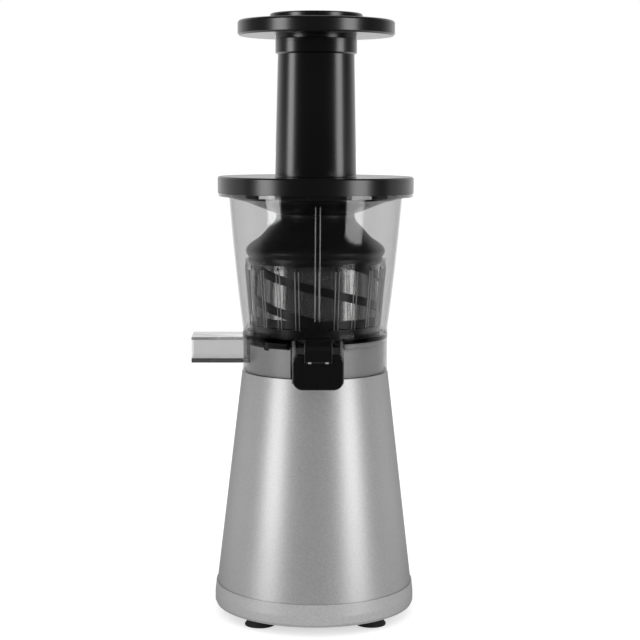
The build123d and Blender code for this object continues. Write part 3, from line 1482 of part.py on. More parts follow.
save(make_bottom_cover(), "bottom_cover")
save([Pos(*polar(foot_circle_r, a), 0) * make_foot() for a in foot_angles], "feet")
save(make_cover_screws(), "cover_screws")
save(make_housing(), "base_housing")
save(make_seat(), "bowl_seat")
save(make_gearbox_case(), "gearbox_case")
save(make_gearbox_lid(), "gearbox_lid")
save(make_gearbox_screws(), "gearbox_screws")
save(make_motor_screws(), "motor_screws")
save(make_motor_can(), "motor_can")
save(make_motor_end_bell(), "motor_end_bell")
save(make_motor_brushes(), "motor_brushes")
save(make_motor_magnets(), "motor_magnets")
save(make_rotor_shaft(), "rotor_shaft")
save(make_motor_pinion(), "motor_pinion")
save(make_rotor_core(), "rotor_core")
save(make_rotor_windings(), "rotor_windings")
save(make_commutator(), "commutator")
save(make_fan(), "cooling_fan")
save(make_stage_a(), "reduction_gear_a")
save(make_stage_b(), "reduction_gear_b")
save(make_arbors(), "gear_arbors")
save(make_output_gear(), "output_gear")
save(make_drive_shaft(), "drive_shaft")
save(make_bushings(), "drive_bushings")
save(make_shaft_seal(), "shaft_seal")
save(make_switch_frame(), "switch_frame")
save(make_rocker(), "power_rocker")
save(make_rocker_pin(), "rocker_pin")
save(make_gland(), "cord_gland")
save(make_board(), "circuit_board")
save(make_board_parts(), "board_components")
save(make_sensor(), "bowl_sensor")

save(make_bowl(), "bowl")
save(make_ducts(), "chute_and_spout")
save(make_hinge_pin(), "cap_hinge_pin")
save(make_bowl_seal(), "bowl_seal")
save(make_outlet_baffle(), "outlet_baffle")
save(make_pulp_plug(), "pulp_plug")
save(make_interlock_magnet(), "interlock_magnet")
save(make_idler_pin(), "idler_pin")
save(make_strainer_frame(), "strainer_frame")
save(make_strainer_foot(), "strainer_foot")
save(make_mesh(), "strainer_mesh")

save(make_idler(), "idler_gear")
save(make_ring_gear(), "cage_ring_gear")
save(make_cage(), "wiper_cage")
save(make_wipers(), "wiper_blades")
save(make_auger(), "auger_screw")
save(make_auger_gear(), "auger_gear")
save(make_auger_socket(), "auger_socket")

save(make_cap(), "spout_cap")
save(make_cap_seal(), "spout_cap_seal")
save(make_lid(), "lid_top")
save(make_feed_tube(), "feed_tube")
save(make_lid_funnel(), "lid_funnel")
save(make_lid_seal(), "lid_seal")
save(make_pusher_grip(), "pusher_grip")
save(make_pusher_plate(), "pusher_plate")
save(make_pusher_stem(), "pusher_stem")
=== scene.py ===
import math

import bmesh
import bpy
from bpy.props import FloatProperty, FloatVectorProperty, IntProperty, PointerProperty
from mathutils import Matrix, Vector


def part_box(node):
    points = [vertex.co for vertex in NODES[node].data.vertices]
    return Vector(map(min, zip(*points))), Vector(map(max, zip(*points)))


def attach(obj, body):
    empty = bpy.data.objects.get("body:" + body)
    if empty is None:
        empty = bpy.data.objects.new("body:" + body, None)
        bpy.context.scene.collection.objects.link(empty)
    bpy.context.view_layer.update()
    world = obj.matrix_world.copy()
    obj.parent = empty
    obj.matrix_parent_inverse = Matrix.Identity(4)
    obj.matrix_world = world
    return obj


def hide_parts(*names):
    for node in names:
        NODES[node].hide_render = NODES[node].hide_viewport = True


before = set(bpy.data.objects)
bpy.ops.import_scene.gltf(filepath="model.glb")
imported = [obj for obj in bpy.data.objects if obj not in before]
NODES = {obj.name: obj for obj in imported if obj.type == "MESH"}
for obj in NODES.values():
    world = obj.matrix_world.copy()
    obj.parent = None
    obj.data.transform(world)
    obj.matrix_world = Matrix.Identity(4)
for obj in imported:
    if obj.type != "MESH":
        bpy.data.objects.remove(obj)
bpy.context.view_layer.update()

bl_info = {
    "name": "Cold press juicer",
    "version": (1, 0, 0),
    "blender": (4, 5, 0),
    "location": "3D View > Sidebar > Juicer",
    "description": "Finishes and fine parts of an upright cold press juicer",
    "category": "Object",
}

# Bowl and chute, in metres
BED_GAP = 0.0004          # play between a piece and its bed
FLANGE_TALL = 0.0024      # rim flange of the bowl
BOWL_FOOT = 0.0045        # straight foot of the bowl over its floor
FLOOR_SHADE_REACH = 0.0009       # the painted shade line of the floor reaches this far over it
CHUTE_RISE = 0.001        # top of the chute over the plug
CHUTE_TALL = 0.0184       # height of the chute
CHUTE_SKIN = 0.0022       # thickness of its roof
CHUTE_LIP = 0.0002        # top strip of the roof that the painted shade leaves out
CHUTE_FLOOR_SHADE = 0.0032       # height of the painted shade along its floor
CHUTE_FRONT = -0.016      # its front wall lies before this
CHUTE_INNER = 0.017       # its inner end, from the axis

# Edges that catch the light, drawn as cords whose pale colour is a painted highlight
RIDGE_R = 0.0004          # cords along ribs and bars
RIB_HALF = 0.0016         # half the width of the bowl's front rib
RIB_NEAR = 0.0002         # a vertex this close counts as on the rib
RIB_CLEAR = 0.012         # where the rib's edges begin, over the floor
SPOUT_HALF = 0.0163       # half the width of the spout's roof
SPOUT_EDGE_R = 0.0012     # radius of its edges
SPOUT_ROOF = (            # (out, rise)
    (0.017, 0.0032), (0.0035, -0.0012), (0.0015, -0.0032), (0.0008, -0.012))
TAB_HALF = 0.009          # half the width of the cap's thumb tab
TAB_EDGE_R = 0.00035      # radius of its edges
TAB_SIDE = (              # (out, fall)
    (0.0052, 0.0006), (0.0006, 0.0036), (0.0, 0.0065), (0.0, 0.0138), (0.0014, 0.0154))
PIP_PLACE = (0.0058, 0.0008, 0.0146)  # a pip of the tab: aside, out, down
PIP_HALF = 0.0011         # half its length
PIP_R = 0.0008

# Low lip round the neck
LIP_TALL = 0.0050
LIP_WALL = 0.0012
LIP_BEVEL = 0.0003
LIP_STEP = 3.0                                 # degrees
LIP_ARCS = ((-67.0, 83.5), (96.5, 158.5))      # degrees

# Wiper cage
CAGE_BARS = 22
CAGE_RING = 0.0056        # height of its top ring
BAR_HALF = 0.0013         # half the width of a bar
BAR_FOOT = (0.007, 0.006)  # depths under the ring gear's top between which the foot is measured
HEAD_R = 0.0006           # radius of the slots at the bars' heads
HEAD_SPAN = (0.0003, 0.0014, 0.0025)  # points along a slot, over the ring's foot

# Clear plastic: how much its skin mirrors
SKIN_FACING = 0.03
SKIN_SLANT = 0.80
FOOT_SHINE = 0.15         # share of the wall's shine that the bowl's foot has
RIM_SHINE = 1.0           # what the bowl's rim has over its wall, as a share

# Screen: painted shade darkens its colour from this slant on, over this span
SCREEN_SHADE_SLANT = 0.25
SCREEN_SHADE_FADE = 0.2

# Stage
LAMP_REACH = 0.7          # lamps from the axis
FLOOR_REACH = 30.0        # radius of the floor
FLOOR_GLOW = 0.55         # what the floor adds where it is seen
ROOM_DARK = 0.08          # reflections of the room on the camera's side
ROOM_EDGE = 0.33          # from here backward they grow lighter
ROOM_FADE = 0.42          # over this span
CLEAR_LAYERS = 40         # clear walls and screen holes that light passes in a row
STOREYS = {
    "base": ["base_housing", "bottom_cover", "bowl_seat", "neck_lip", "feet", "floor"],
    "lid": ["lid_top", "spout_cap", "lid_seal"],
    "tube": ["feed_tube", "pusher_stem"],
    "disc": ["pusher_plate", "pusher_grip"],
    "screen": ["strainer_screen"],
}
# storey, side, azimuth, foot, head, width, brightness; the bowl's pair lights what has no storey above
LAMPS = (
    ("base", "left", -55.5, 0.00, 0.30, 0.30, 5.1),
    ("base", "right", 48.0, 0.00, 0.30, 0.30, 5.1),
    ("bowl", "left", -57.2, 0.150, 0.33, 0.242, 7.0),
    ("bowl", "right", 51.0, 0.119, 0.33, 0.300, 4.6),
    ("lid", "left", -58.5, 0.15, 0.50, 0.24, 7.2),
    ("lid", "right", 48.0, 0.15, 0.50, 0.26, 6.5),
    ("tube", "left", -78.0, 0.25, 0.60, 0.24, 7.0),
    ("tube", "right", 69.5, 0.25, 0.60, 0.26, 6.5),
    ("disc", "left", -53.5, 0.30, 0.64, 0.26, 7.8),
    ("disc", "right", 46.0, 0.30, 0.64, 0.26, 7.2),
    ("screen", "left", -68.5, 0.05, 0.60, 0.26, 2.4),
    ("screen", "right", 63.0, 0.05, 0.60, 0.27, 2.9),
)


# ---------------------------------------------------------------- sizes and colours a user would change


class JuicerFinishes(bpy.types.PropertyGroup):
    paint: FloatVectorProperty(
        name="Silver paint", description="Colour of the sprayed metallic paint on the motor base",
        subtype="COLOR", size=3, min=0.0, max=1.0, default=(0.47, 0.47, 0.47))
    flake: FloatProperty(
        name="Flake", description="Size of one metal flake in the paint",
        subtype="DISTANCE", unit="LENGTH", default=0.00045)
    gloss_black: FloatVectorProperty(
        name="Gloss black", description="Colour of the polished black lid, tube and pusher",
        subtype="COLOR", size=3, min=0.0, max=1.0, default=(0.0035, 0.0035, 0.0035))
    satin_black: FloatVectorProperty(
        name="Satin black", description="Colour of the strainer, the auger and the gears in the bowl",
        subtype="COLOR", size=3, min=0.0, max=1.0, default=(0.011, 0.011, 0.011))
    smoke: FloatVectorProperty(
        name="Smoke", description="What one face of the smoke-grey bowl lets through",
        subtype="COLOR", size=3, min=0.0, max=1.0, default=(0.88, 0.88, 0.88))
    smoke_depth: FloatProperty(
        name="Smoke depth", description="Darkening of the bowl's plastic along a metre of it", default=40.0)
    cage: FloatVectorProperty(
        name="Cage", description="What one face of the clear wiper cage lets through",
        subtype="COLOR", size=3, min=0.0, max=1.0, default=(0.93, 0.93, 0.93))
    steel: FloatVectorProperty(
        name="Steel", description="Colour of the stainless screen and the ground steel parts",
        subtype="COLOR", size=3, min=0.0, max=1.0, default=(0.48, 0.48, 0.475))


class JuicerScreen(bpy.types.PropertyGroup):
    columns: IntProperty(
        name="Columns", description="Holes round the strainer screen", default=132)
    rows: IntProperty(name="Rows", description="Holes from the foot of the screen to its top", default=24)
    open_share: FloatProperty(
        name="Open share", description="Width of a hole over the pitch of the holes",
        subtype="FACTOR", default=0.40)
    sheet: FloatProperty(
        name="Sheet", description="Thickness of the steel sheet",
        subtype="DISTANCE", unit="LENGTH", default=0.0004)


class JuicerStage(bpy.types.PropertyGroup):
    distance: FloatProperty(
        name="Distance", description="Camera to the axis of the juicer, over the floor",
        subtype="DISTANCE", unit="LENGTH", default=1.1448)
    height: FloatProperty(
        name="Height", description="Camera above the floor",
        subtype="DISTANCE", unit="LENGTH", default=0.3459)
    side: FloatProperty(
        name="Side", description="Turn of the camera round the juicer, from straight in front",
        subtype="ANGLE", unit="ROTATION", default=math.radians(-1.5))
    tilt: FloatProperty(
        name="Tilt", description="Camera down from level",
        subtype="ANGLE", unit="ROTATION", default=math.radians(6.63))
    aim: FloatProperty(
        name="Aim", description="Camera to the right of the axis",
        subtype="ANGLE", unit="ROTATION", default=math.radians(0.1755))
    roll: FloatProperty(
        name="Roll", description="Camera about its own line of sight",
        subtype="ANGLE", unit="ROTATION", default=math.radians(0.25))
    lens: FloatProperty(
        name="Lens", description="Focal length in millimetres on a frame 36 mm wide", default=90.0)
    room_light: FloatProperty(
        name="Room light", description="Level of the even light of the room", default=0.75)
    lamp_light: FloatProperty(
        name="Lamp light", description="Brightness of the strip lamps, as a factor", default=1.0)


# ---------------------------------------------------------------- shader expressions


class Term:
    """A socket in an expression: operators on it add the Math nodes that work the expression out."""

    def __init__(self, finish, socket):
        self.finish = finish
        self.socket = socket

    def math(self, operation, *values):
        inputs = dict(enumerate(values))
        return self.finish.node("ShaderNodeMath", {"operation": operation}, inputs)["Value"]

    def __add__(self, other):
        return self.math("ADD", self, other)

    def __radd__(self, other):
        return self.math("ADD", other, self)

    def __sub__(self, other):
        return self.math("SUBTRACT", self, other)

    def __rsub__(self, other):
        return self.math("SUBTRACT", other, self)

    def __mul__(self, other):
        return self.math("MULTIPLY", self, other)

    def __rmul__(self, other):
        return self.math("MULTIPLY", other, self)

    def __truediv__(self, other):
        return self.math("DIVIDE", self, other)

    def __pow__(self, other):
        return self.math("POWER", self, other)

    def __gt__(self, other):
        return self.math("GREATER_THAN", self, other)

    def __lt__(self, other):
        return self.math("LESS_THAN", self, other)

    def wave(self):
        return self.math("SINE", self)

    def least(self, other):
        return self.math("MINIMUM", self, other)

    def most(self, other):
        return self.math("MAXIMUM", self, other)


class Finish:
    """The node tree of one finish, for a material or for the world."""

    def __init__(self, name, owner=None):
        self.owner = owner or bpy.data.materials.new(name)
        self.owner.use_nodes = True
        self.tree = self.owner.node_tree
        self.tree.nodes.clear()

    def node(self, kind, settings=None, inputs=None):
        """Adds a node, with its settings first, and returns its outputs by name."""
        made = self.tree.nodes.new(kind)
        for name, value in (settings or {}).items():
            setattr(made, name, value)
        for name, value in (inputs or {}).items():
            socket = self.input(made, name)
            if isinstance(value, Term):
                self.tree.links.new(value.socket, socket)
            elif isinstance(value, (tuple, list)) and socket.type == "RGBA" and len(value) == 3:
                socket.default_value = (*value, 1.0)
            else:
                socket.default_value = value
        return {socket.name: Term(self, socket) for socket in made.outputs if socket.enabled}

    @staticmethod
    def input(made, name):
        """The input socket of that name or number, among those in use."""
        used = [socket for socket in made.inputs if socket.enabled]
        if isinstance(name, int):
            return used[name]
        return next(socket for socket in used if socket.name == name)

    def place(self):
        """The place on the part in its own frame, in metres."""
        return self.node("ShaderNodeTexCoord")["Object"]

    def noise(self, place, grain, detail=2.0):
        """Soft noise from 0 to 1 whose features are one grain across."""
        return self.node("ShaderNodeTexNoise", {}, {
            "Vector": place, "Scale": 1.0 / grain, "Detail": detail})["Fac"]

    def speckle(self, place, grain):
        """A level from 0 to 1 for each cell of one grain across."""
        cell = self.node("ShaderNodeTexVoronoi", {"feature": "F1"}, {
            "Vector": place, "Scale": 1.0 / grain, "Randomness": 1.0})["Color"]
        return self.node("ShaderNodeSeparateColor", {}, {"Color": cell})["Red"]

    def blend(self, share, low, high):
        """A colour between low and high."""
        return self.node("ShaderNodeMix", {"data_type": "RGBA", "clamp_factor": True}, {
            "Factor": share, "A": low, "B": high})["Result"]

    def bump(self, height, depth, strength=1.0):
        """A normal for a relief of that depth in metres."""
        return self.node("ShaderNodeBump", {}, {
            "Height": height, "Distance": depth, "Strength": strength})["Normal"]

    def skin(self, **inputs):
        """A Principled shader; words in a name are joined by underscores."""
        named = {name.replace("_", " "): value for name, value in inputs.items()}
        return self.node("ShaderNodeBsdfPrincipled", {}, named)["BSDF"]

    def mix(self, share, first, second):
        return self.node("ShaderNodeMixShader", {}, {0: share, 1: first, 2: second})["Shader"]

    def close(self, shader, kind="ShaderNodeOutputMaterial", volume=None):
        self.node(kind, {}, {"Surface": shader, **({"Volume": volume} if volume else {})})
        return self.owner


def shade(colour, share):
    """The colour times share, kept under 1."""
    return tuple(min(1.0, level * share) for level in colour)


# ---------------------------------------------------------------- finishes


def finishes():
    return bpy.context.scene.juicer_finishes


def silver_paint(name, metallic, level):
    """Sprayed silver: metal flakes under lacquer, duller where it is seen at a slant."""
    look = finishes()
    paint = Finish(name)
    place = paint.place()
    flake = paint.speckle(place, look.flake)
    cloud = paint.noise(place, 0.0016)
    drift = paint.noise(place, 0.045)
    grain = 0.55 * flake + 0.30 * cloud + 0.15 * drift
    sprayed = paint.blend(grain, shade(look.paint, 0.80 * level), shade(look.paint, 1.20 * level))
    slant = paint.node("ShaderNodeLayerWeight", {}, {"Blend": 0.5})["Facing"]
    colour = paint.blend(0.75 * slant ** 1.5, sprayed, shade(look.paint, 0.35))
    peel = paint.noise(place, 0.0035)
    return paint.close(paint.skin(
        Base_Color=colour, Metallic=metallic, Roughness=0.40 + 0.06 * (flake - 0.5),
        Coat_Weight=0.03, Coat_Roughness=0.22, Specular_Tint=(0.35, 0.35, 0.35),
        Normal=paint.bump(flake * 0.5 + peel, 0.000012)))


def gloss_black():
    """Polished black moulding with a faint swirl of handling."""
    look = finishes()
    gloss = Finish("gloss_black")
    place = gloss.place()
    drift = gloss.noise(place, 0.03)
    fine = gloss.noise(place, 0.004)
    colour = gloss.blend(drift, shade(look.gloss_black, 0.85), shade(look.gloss_black, 1.15))
    return gloss.close(gloss.skin(
        Base_Color=colour, Roughness=0.23 + 0.05 * drift, IOR=1.5,
        Normal=gloss.bump(fine, 0.00002, 0.3)))


def satin_black():
    """Satin black moulding with a fine spark-eroded grain."""
    look = finishes()
    satin = Finish("satin_black")
    place = satin.place()
    grain = satin.noise(place, 0.0005)
    drift = satin.noise(place, 0.02)
    colour = satin.blend(
        0.5 * grain + 0.5 * drift, shade(look.satin_black, 0.8), shade(look.satin_black, 1.25))
    return satin.close(satin.skin(
        Base_Color=colour, Roughness=0.30 + 0.10 * drift, IOR=1.5,
        Normal=satin.bump(grain, 0.00001, 0.2)))


def clear_plastic(name, tint, haze, density, shade_bands=None, shine=None):
    """Clear moulding: what lies behind shows through a tint, under a mirror skin that grows at a slant.

    bands and shine take the place's axes: the bands give (mask, level) pairs of painted shade, where less
    light comes through, and shine gives how much the skin mirrors there.
    """
    clear = Finish(name)
    place = clear.place()
    axes = clear.node("ShaderNodeSeparateXYZ", {}, {"Vector": place})
    slant = clear.node("ShaderNodeLayerWeight", {}, {"Blend": 0.5})["Facing"]
    ripple = clear.noise(place, 0.012)
    body = clear.node("ShaderNodeBsdfTransparent", {}, {"Color": tint})["BSDF"]
    for mask, level in (shade_bands(axes) if shade_bands else ()):
        # painted shade: less light comes through inside each band
        painted_shade = clear.node("ShaderNodeBsdfTransparent", {}, {"Color": (level,) * 3})["BSDF"]
        body = clear.mix(mask, body, painted_shade)
    mirror = clear.node("ShaderNodeBsdfAnisotropic", {}, {
        "Color": (1.0, 1.0, 1.0), "Roughness": haze, "Normal": clear.bump(ripple, 0.00003, 0.4)})["BSDF"]
    polish = shine(axes) if shine else 1.0
    skin = SKIN_FACING * polish + SKIN_SLANT * slant ** 5.0
    inside = clear.node("ShaderNodeVolumeAbsorption", {}, {
        "Color": (0.0, 0.0, 0.0), "Density": density})["Volume"]
    return clear.close(clear.mix(skin, body, mirror), volume=inside)


def between(height, low, high):
    """A mask that is 1 from low to high."""
    return (height > low) * (height < high)


def smoke_clear():
    """Smoke-grey clear bowl, with painted shade: a dark line along its floor, seen through the edge."""
    look = finishes()
    floor_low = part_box("pulp_plug")[1].z
    floor_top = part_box("idler_gear")[0].z - BED_GAP
    wall_r = -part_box("outlet_baffle")[0].y
    rim_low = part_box("bowl")[1].z - FLANGE_TALL

    def floor_shade_line(axes):
        radius = (axes["X"] ** 2.0 + axes["Y"] ** 2.0) ** 0.5
        # painted shade along the floor where it meets the wall
        return [(between(axes["Z"], floor_low, floor_top + FLOOR_SHADE_REACH) * (radius > wall_r), 0.12)]

    def polish(axes):
        wall = FOOT_SHINE + (1.0 - FOOT_SHINE) * (axes["Z"] > floor_top + BOWL_FOOT)
        return wall * (1.0 + RIM_SHINE * (axes["Z"] > rim_low))

    return clear_plastic("smoke_clear", tuple(look.smoke), 0.04, look.smoke_depth, floor_shade_line, polish)


def chute_clear():
    """The same plastic in chute and spout, with painted shade where floor and roof are seen along their
    length, and on the chute's inner end inside the bowl's wall.
    """
    look = finishes()
    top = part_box("pulp_plug")[1].z + CHUTE_RISE
    wall_r = -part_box("outlet_baffle")[0].y

    def chute_shade(axes):
        outside = axes["X"] < -wall_r
        in_front = axes["Y"] < CHUTE_FRONT
        inside = (axes["X"] > -wall_r) * (axes["X"] < -CHUTE_INNER)
        # painted shade: the floor in front, the roof under its top strip, and the inner end
        return [
            (between(axes["Z"], top - CHUTE_TALL, top - CHUTE_TALL + CHUTE_FLOOR_SHADE) * outside * in_front, 0.09),
            (between(axes["Z"], top - CHUTE_SKIN, top - CHUTE_LIP) * outside, 0.50),
            (inside, 0.66),
        ]

    return clear_plastic("chute_clear", shade(look.smoke, 0.95), 0.04, 0.2 * look.smoke_depth, chute_shade)


def cage_clear():
    """Clear wiper cage, a little hazy from washing."""
    return clear_plastic("cage_clear", tuple(finishes().cage), 0.10, 60.0)


def painted_ridge_highlight(name, level, cover):
    """Pale cords on the edges of ribs and bars: a painted highlight where the clear plastic catches the
    light.
    """
    ridge_highlight = Finish(name)
    place = ridge_highlight.place()
    grain = ridge_highlight.noise(place, 0.0008)
    painted_glint = ridge_highlight.skin(Base_Color=ridge_highlight.blend(grain, (0.8 * level,) * 3, (1.2 * level,) * 3), Roughness=0.25)
    through = ridge_highlight.node("ShaderNodeBsdfTransparent", {}, {"Color": (0.95,) * 3})["BSDF"]
    return ridge_highlight.close(ridge_highlight.mix(cover + 0.1 * grain, through, painted_glint))


def tab_painted_glint(name, glint_level):
    """Lighter black on the cap tab's edges and pips: a painted highlight where the tab catches the light."""
    look = finishes()
    trim = Finish(name)
    glint_mottle = trim.noise(trim.place(), 0.002)
    return trim.close(trim.skin(
        Base_Color=trim.blend(
            glint_mottle, shade(look.gloss_black, 0.7 * glint_level), shade(look.gloss_black, 1.3 * glint_level)),
        Roughness=0.25, IOR=1.5))


def rubber(name, level, roughness):
    """Matt rubber with dust in its pores."""
    soft = Finish(name)
    place = soft.place()
    pores = soft.noise(place, 0.0007)
    dust = soft.noise(place, 0.008)
    colour = soft.blend(0.4 * pores + 0.6 * dust, (level * 0.7,) * 3, (level * 1.5,) * 3)
    return soft.close(soft.skin(
        Base_Color=colour, Roughness=roughness + 0.1 * pores, Specular_IOR_Level=0.35,
        Normal=soft.bump(pores, 0.00004, 0.5)))


def foot_rubber():
    return rubber("foot_rubber", 0.014, 0.55)


def silicone():
    return rubber("silicone", 0.045, 0.45)


def turned_metal(name, colour, roughness, groove, metallic=1.0):
    """Metal with the fine rings of a lathe or a grinding wheel, and a little stain."""
    metal = Finish(name)
    place = metal.place()
    height = metal.node("ShaderNodeSeparateXYZ", {}, {"Vector": place})["Z"]
    waver = metal.noise(place, 0.006)
    rings = (height * (2.0 * math.pi / groove) + 3.0 * waver).wave()
    stain = metal.noise(place, 0.012)
    base = metal.blend(stain, shade(colour, 0.78), shade(colour, 1.1))
    return metal.close(metal.skin(
        Base_Color=base, Metallic=metallic, Roughness=roughness + 0.10 * stain,
        Normal=metal.bump(0.5 + 0.5 * rings, 0.000004, 0.6)))


def ground_steel():
    return turned_metal("ground_steel", tuple(finishes().steel), 0.18, 0.0003)


def screw_steel():
    return turned_metal("screw_steel", (0.50, 0.49, 0.47), 0.30, 0.0005)


def motor_steel():
    return turned_metal("motor_steel", (0.42, 0.42, 0.41), 0.32, 0.0012)


def gear_steel():
    return turned_metal("gear_steel", (0.38, 0.38, 0.39), 0.35, 0.0004)


def bronze():
    return turned_metal("bronze", (0.50, 0.31, 0.13), 0.38, 0.0004)


def mesh_steel():
    """Bright rolled sheet of the strainer screen, with painted shade that darkens it at a slant, also on the
    walls of its holes.
    """
    steel = tuple(finishes().steel)
    sheet = Finish("mesh_steel")
    stain = sheet.noise(sheet.place(), 0.01)
    slant = sheet.node("ShaderNodeLayerWeight", {}, {"Blend": 0.5})["Facing"]
    # painted shade: the sheet darkens where it is seen at a slant
    slant_shade = ((slant - SCREEN_SHADE_SLANT) / SCREEN_SHADE_FADE).most(0.0).least(1.0)
    colour = sheet.blend(slant_shade, sheet.blend(stain, shade(steel, 0.9), shade(steel, 1.1)), shade(steel, 0.25))
    return sheet.close(sheet.skin(Base_Color=colour, Metallic=0.85, Roughness=0.15 + 0.05 * stain))


def core_steel():
    """Stacked laminations: thin dark lines from sheet to sheet, with varnish."""
    core = Finish("core_steel")
    place = core.place()
    height = core.node("ShaderNodeSeparateXYZ", {}, {"Vector": place})["Z"]
    sheets = (height * (2.0 * math.pi / 0.0005)).wave()
    stain = core.noise(place, 0.006)
    base = core.blend(0.35 + 0.35 * sheets + 0.3 * stain, (0.10, 0.09, 0.08), (0.34, 0.33, 0.32))
    return core.close(core.skin(
        Base_Color=base, Metallic=0.85, Roughness=0.42 + 0.15 * stain,
        Normal=core.bump(0.5 + 0.5 * sheets, 0.00002)))


def copper():
    """Enamelled copper wire."""
    wire = Finish("copper")
    place = wire.place()
    stain = wire.noise(place, 0.004)
    fine = wire.noise(place, 0.0008)
    base = wire.blend(stain, (0.42, 0.13, 0.045), (0.68, 0.27, 0.11))
    return wire.close(wire.skin(
        Base_Color=base, Metallic=0.9, Roughness=0.26 + 0.12 * fine, Coat_Weight=0.5,
        Coat_Roughness=0.12, Normal=wire.bump(fine, 0.00003, 0.4)))


def magnet_ferrite():
    """Sintered ferrite, dark and grainy."""
    block = Finish("magnet_ferrite")
    place = block.place()
    grain = block.noise(place, 0.0006, 4.0)
    base = block.blend(grain, (0.030, 0.030, 0.032), (0.085, 0.083, 0.080))
    return block.close(block.skin(
        Base_Color=base, Roughness=0.62 + 0.15 * grain, Metallic=0.25,
        Normal=block.bump(grain, 0.00006)))


def carbon():
    """Pressed carbon brushes."""
    brush = Finish("carbon")
    place = brush.place()
    grain = brush.noise(place, 0.0004, 4.0)
    base = brush.blend(grain, (0.012, 0.012, 0.012), (0.055, 0.053, 0.050))
    return brush.close(brush.skin(
        Base_Color=base, Roughness=0.5 + 0.2 * grain, Normal=brush.bump(grain, 0.00003)))


def moulded(name, colour, roughness, grain_depth=0.00003):
    """Plain moulded plastic: fine grain, faint flow lines."""
    plastic = Finish(name)
    place = plastic.place()
    grain = plastic.noise(place, 0.0007)
    flow = plastic.noise(place, 0.02)
    base = plastic.blend(0.6 * flow + 0.4 * grain, shade(colour, 0.85), shade(colour, 1.12))
    return plastic.close(plastic.skin(
        Base_Color=base, Roughness=roughness + 0.10 * grain,
        Normal=plastic.bump(grain, grain_depth, 0.6)))


def gear_plastic():
    return moulded("gear_plastic", (0.72, 0.70, 0.63), 0.38)


def inner_plastic():
    return moulded("inner_plastic", (0.035, 0.036, 0.038), 0.45)


def rocker_plastic():
    return moulded("rocker_plastic", (0.016, 0.016, 0.017), 0.28, 0.00001)


def components():
    return moulded("components", (0.045, 0.045, 0.05), 0.35)


def board_green():
    """Solder resist over a weave of glass cloth, with the tracks showing lighter."""
    board = Finish("board_green")
    place = board.place()
    axes = board.node("ShaderNodeSeparateXYZ", {}, {"Vector": place})
    across = (axes["Y"] * (2.0 * math.pi / 0.0026)).wave()
    along = (axes["Z"] * (2.0 * math.pi / 0.0041)).wave()
    routes = board.noise(place, 0.011)
    track = ((across * along) > 0.35) * (routes > 0.5)
    base = board.blend(track, (0.008, 0.070, 0.028), (0.020, 0.160, 0.060))
    weave = board.noise(place, 0.0005)
    return board.close(board.skin(
        Base_Color=base, Roughness=0.34 + 0.08 * weave,
        Normal=board.bump(track * 0.8 + 0.2 * weave, 0.00003)))


# ---------------------------------------------------------------- pieces


def paint(finish, *names):
    """Gives the CAD nodes one finish."""
    for name in names:
        NODES[name].data.materials.clear()
        NODES[name].data.materials.append(finish)


def add_piece(name, mesh, finish, body):
    """A new mesh piece that rides on a body."""
    piece = bpy.data.objects.new(name, mesh)
    bpy.context.scene.collection.objects.link(piece)
    mesh.materials.append(finish)
    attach(piece, body)
    return piece


def ridges(name, lines, radius, sides=6):
    """Rounded cords of that radius along lists of points."""
    bm = bmesh.new()
    for points in lines:
        loops = []
        for index, point in enumerate(points):
            along = (points[min(index + 1, len(points) - 1)] - points[max(index - 1, 0)]).normalized()
            across = along.cross(Vector((point.x, point.y, 0.0))).normalized()
            out = across.cross(along)
            loops.append([
                bm.verts.new(point + radius * (math.cos(turn) * across + math.sin(turn) * out))
                for turn in (2 * math.pi * step / sides for step in range(sides))])
        for low, high in zip(loops, loops[1:]):
            for step in range(sides):
                after = (step + 1) % sides
                bm.faces.new((low[step], low[after], high[after], high[step]))
        bm.faces.new(reversed(loops[0]))
        bm.faces.new(loops[-1])
    bmesh.ops.recalc_face_normals(bm, faces=bm.faces)
    return bm_to_mesh(name, bm)


def reach(name, low, high):
    """How far the node's points between two levels lie from the axis."""
    return max(
        math.hypot(point.co.x, point.co.y) for point in NODES[name].data.vertices
        if low <= point.co.z <= high)


def bm_to_mesh(name, bm, smooth=True):
    mesh = bpy.data.meshes.new(name)
    bm.normal_update()
    bm.to_mesh(mesh)
    bm.free()
    for face in mesh.polygons:
        face.use_smooth = smooth
    return mesh


class PaintMotorBase(bpy.types.Operator):
    """Silver paint on the housing, its seat and the ring under it, rubber on the feet"""

    bl_idname = "juicer.motor_base"
    bl_label = "Motor base"

    def execute(self, context):
        paint(silver_paint("silver_paint", 0.55, 1.0), "base_housing")
        paint(silver_paint("cover_paint", 0.25, 0.99), "bottom_cover")
        seat = silver_paint("seat_paint", 0.15, 1.0)
        paint(seat, "bowl_seat")
        add_piece("neck_lip", lip_mesh(), seat, "base")
        rubber_black = foot_rubber()
        paint(rubber_black, "feet", "cord_gland", "shaft_seal", "bowl_seal", "lid_seal")
        paint(screw_steel(), "cover_screws", "gearbox_screws", "motor_screws")
        return {"FINISHED"}


